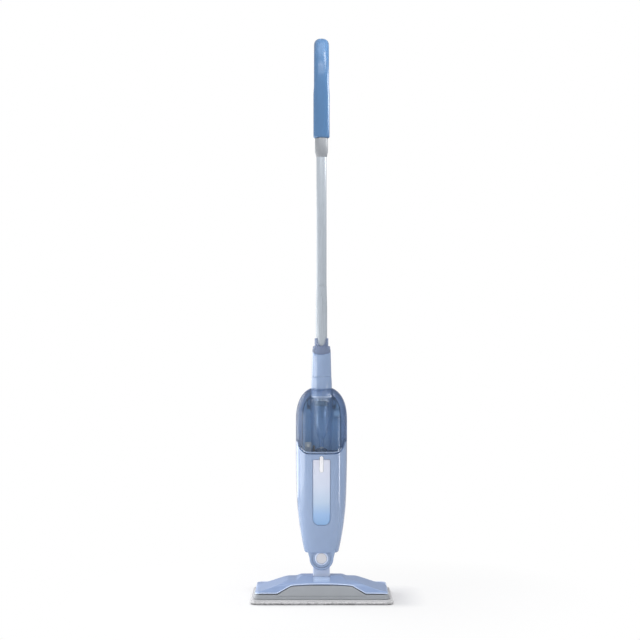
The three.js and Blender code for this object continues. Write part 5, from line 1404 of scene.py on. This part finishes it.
tabs = [catch_part(side, 7.6, 16, 424.0, 427.0) for side in (-1, 1)]
piece("water_tank_shell", [tank_form()], "water_tank", SMOKY_TANK, ["tank_shell"], wall=2.2,
      out_from=(0, -33, 380), sharp=30)


def foot_rim():
    """Thick clear lip inside the tank's foot: a band 3 mm tall that follows its lower edge."""
    x = np.linspace(-44, 44, 121)
    rise = np.linspace(0.9, 3.9, 6)
    z = tank_foot(x)[None, :] + rise[:, None]
    x = np.broadcast_to(x, z.shape)
    return surface(np.stack([x, -front_depth(x, z, 2.7), z], axis=-1))


piece("water_tank_foot_rim", [foot_rim()], "water_tank", CLEAR_RIM, wall=1.2,
      out_from=(0, 0, 380))
piece("water_tank_tabs", tabs, "water_tank", SMOKY_TANK)
STOPPER = [(0, 4.8), (5.5, 4.8), (5.9, 5.3), (5.9, 8.3), (8.6, 8.3), (9.0, 8.8), (9.0, 12.3), (8.5, 13.0),
           (6.2, 13.0), (5.8, 12.4), (0, 12.4)]
stopper = turned(STOPPER, 64, (32, 395), "y")
stopper_grip = moved(box_part((-5.0, 12.0, 393.7), (5.0, 13.6, 396.3), 0.4), x=32)
piece("tank_stopper", [stopper, stopper_grip], "tank_cap", BLUE_RUBBER, ["tank_cap"])


def tick(z, wide):
    """Short raised line on the tank's front wall."""
    part = hugging(z + np.array([-0.7, -0.5, 0.0, 0.5, 0.7]), np.full(5, wide / 2), -0.3, 0.4, 0.12, 9)
    return moved(part, x=wide / 2 - 1.0)


TICK_LOW, TICK_STEP = 391.5, 6.3
ticks = [tick(TICK_LOW + TICK_STEP * k, 5.5 if k % 2 == 0 else 3.5) for k in range(5)]
piece("water_level_ticks", ticks, "water_tank", TICK_INK)

# ---------------------------------------------------------------- pump and what shows through the tank

CYLINDER = [(2, 324), (4.6, 324), (5, 324.5), (5, 339), (5.6, 341), (9, 346), (10.5, 349), (15.2, 366),
            (16, 370), (16, 371.5), (16, 428.8), (16, 430.2), (15.6, 430.6), (13.4, 430.6), (13.4, 429),
            (13.4, 372), (13.4, 371), (12.6, 368), (6, 347), (2, 342)]
CYLINDER_COLLAR = [(16.2, 428.0), (18.6, 428.0), (19.0, 428.4), (19.0, 430.3), (18.6, 430.7), (16.2, 430.7)]
GASKET = [(5.3, 313.2), (12.2, 313.2), (12.6, 313.7), (12.4, 315), (11.9, 316.2), (12.0, 317.6),
          (11.5, 319.2), (9.5, 320.4), (7.5, 321.2), (5.3, 321.2)]
BARB = [(0, 0), (3.7, 0), (4, 0.4), (4, 4.6), (3.6, 5), (2.4, 6), (2.4, 7.2), (3.0, 7.6), (2.3, 9.4),
        (3.0, 9.8), (2.2, 11.8), (1.2, 12.8), (0, 13)]
piece("pump_cylinder_clear", [turned(CYLINDER, 96, ring=True)], "body", SMOKY_CYLINDER,
      ["pump_cylinder"])
# The collar ring's bright white is partly a painted highlight
piece("cylinder_collar_ring", [turned(CYLINDER_COLLAR, 72, ring=True)], "body", HIGHLIGHT_RIM_WHITE)
piece("pump_gasket_ring", [turned(GASKET, 72, ring=True)], "body", NITRILE, ["pump_gasket"])
piece("hose_barb_brass", [moved(turned(BARB, 40), -16.5, 16, 313.2)], "body", TURNED_BRASS,
      ["hose_barb"])
RECEIVER_X = -28.5  # the valve's receiver sits left of the pump's cylinder
receiver = plate(round_rectangle(14, 19.8, 2.2, 5, centre=(RECEIVER_X, 323.1)), 11.3, 23.0, 0.8, "y")
spout = turned([(0, 4.0), (3.1, 4.0), (3.5, 4.4), (3.5, 13), (0, 13)], 40, (RECEIVER_X, 326), "y")
piece("valve_receiver_block", [receiver, spout], "body", CREAM_ACETAL, ["valve_receiver"])

SPRING_FOOT, SPRING_TOP, SPRING_TURNS, SPRING_RADIUS = 436.2, 486.8, 6, 8
share = np.linspace(0, 1, 420)
turn = 2 * np.pi * SPRING_TURNS * share
coil = np.column_stack([SPRING_RADIUS * np.cos(turn), SPRING_RADIUS * np.sin(turn),
                        SPRING_FOOT + (SPRING_TOP - SPRING_FOOT) * share])
spring = piece("pump_return_spring", [tube(coil, 0.9, 10)], "body", ZINC_STEEL, ["pump_spring"])
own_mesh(spring)

# ---------------------------------------------------------------- latch, gland and screws behind

LATCH_Z = 414  # height of the latch's thumb plate
latch_parts = [plate(round_rectangle(60, 9, 1.2, 4, centre=(0, LATCH_Z - 1.5)), 30, 34, 0.6, "y"),
               plate(round_rectangle(12, 8, 1.2, 4, centre=(0, LATCH_Z)), 33.5, 46.6, 0.5, "y"),
               plate(round_rectangle(20, 18, 5, 8, centre=(0, LATCH_Z)), 46, 48.4, 0.9, "y")]
for side in (-1, 1):
    latch_parts += [catch_part(side, 9, 33, 410, 414), catch_part(side, 9, 12, 410, 423.4)]
latch_parts += [plate(round_rectangle(13, 1.1, 0.5, 4, centre=(0, LATCH_Z + 3.2 * k)), 48.1, 49.0, 0.35,
                      "y") for k in range(-2, 3)]
piece("tank_latch_slide", latch_parts, "tank_latch", MID_BLUE, ["tank_latch"])


def strain_relief(end):
    """Tapered cord guard: a ring profile along Y whose outside swells and necks every 2.4 mm."""
    y = np.linspace(46.4, 60.6, 72)
    ribs = 0.45 * np.cos((y - y[0]) * 2 * np.pi / 2.4)
    radius = np.interp(y, [46.4, 50, 61], [6.6, 6.4, 4.9]) + ribs
    profile = [(3.6, 40.3), (9.3, 40.3), (9.5, 40.6), (9.5, 41.9), (6.9, 42.2), (6.9, 46.2)]
    profile += list(zip(radius, y)) + [(4.9, 61.3), (4.4, 61.6), (3.6, 61.6)]
    return moved(turned(profile, 56, (0, 290), "y", ring=True), y=end - profile[-1][1])


cord_guard = strain_relief(span("cord_gland")[1][1])
piece("cord_strain_relief", [cord_guard], "body", NITRILE, ["cord_gland"])


def cross_screw(name, stands_for):
    """Pan-head screw along Y with a cross recess: the head's disc falls towards its rim."""
    low, high = span(stands_for)
    x, y, z = (low[0] + high[0]) / 2, high[1], (low[2] + high[2]) / 2
    head = turned([(0, y - 0.2), (1.6, y - 0.2), (2.6, y - 0.5), (3.2, y - 1.2), (3.2, y - 2), (1.4, y - 2),
                   (1.4, y - 30), (0.9, y - 31.2), (0, y - 32)], 32, (x, z), "y")
    arms = [stacked(round_rectangle(*size, 0.2, 2, centre=(x, z)), [(0, y - 1.3), (0, y + 1)], "y")
            for size in ((3.6, 0.75), (0.75, 3.6))]
    piece(name, [head], "body", ZINC_STEEL, [stands_for], holes=arms)


for k in range(1, len(SCREWS) + 1):
    cross_screw(f"casing_screw_cross_{k}", f"casing_screw_{k}")

BEARING_RADIUS = 10.5
for name in ("left", "right"):
    low, high = span(f"bearing_{name}")
    shape = np.vstack([[(-BEARING_RADIUS, low[2]), (BEARING_RADIUS, low[2])],
                       arc((0, PITCH_Z), BEARING_RADIUS, 0, 180, 32)])
    piece(f"pitch_bearing_{name}", [plate(shape, low[0], high[0], 0.8, "x")], "head", WHITE_ABS,
          [f"bearing_{name}"])

# ---------------------------------------------------------------- pieces that keep their CAD shape

KEPT = {
    WHITE_ABS: ["steam_plate", "check_valve", "terminal_block"],
    NATURAL_NYLON: ["hook_strip_left", "hook_strip_right", "pole_joiner", "pump_rod"],
    ZINC_STEEL: ["pitch_pin", "boiler_bracket", "thermostat", "heater_terminal_left",
                 "heater_terminal_right"],
    TURNED_BRASS: ["steam_nipple", "roll_spigot", "thermal_fuse"],
    CAST_ALUMINIUM: ["boiler"],
    SILICONE: ["head_hose", "boiler_hose", "inlet_hose", "steam_elbow"],
    NITRILE: ["pump_piston"],
    BOARD_GREEN: ["indicator_board"],
}
for finish, nodes in KEPT.items():
    for node in nodes:
        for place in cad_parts[node].material_slots:
            place.material = finish
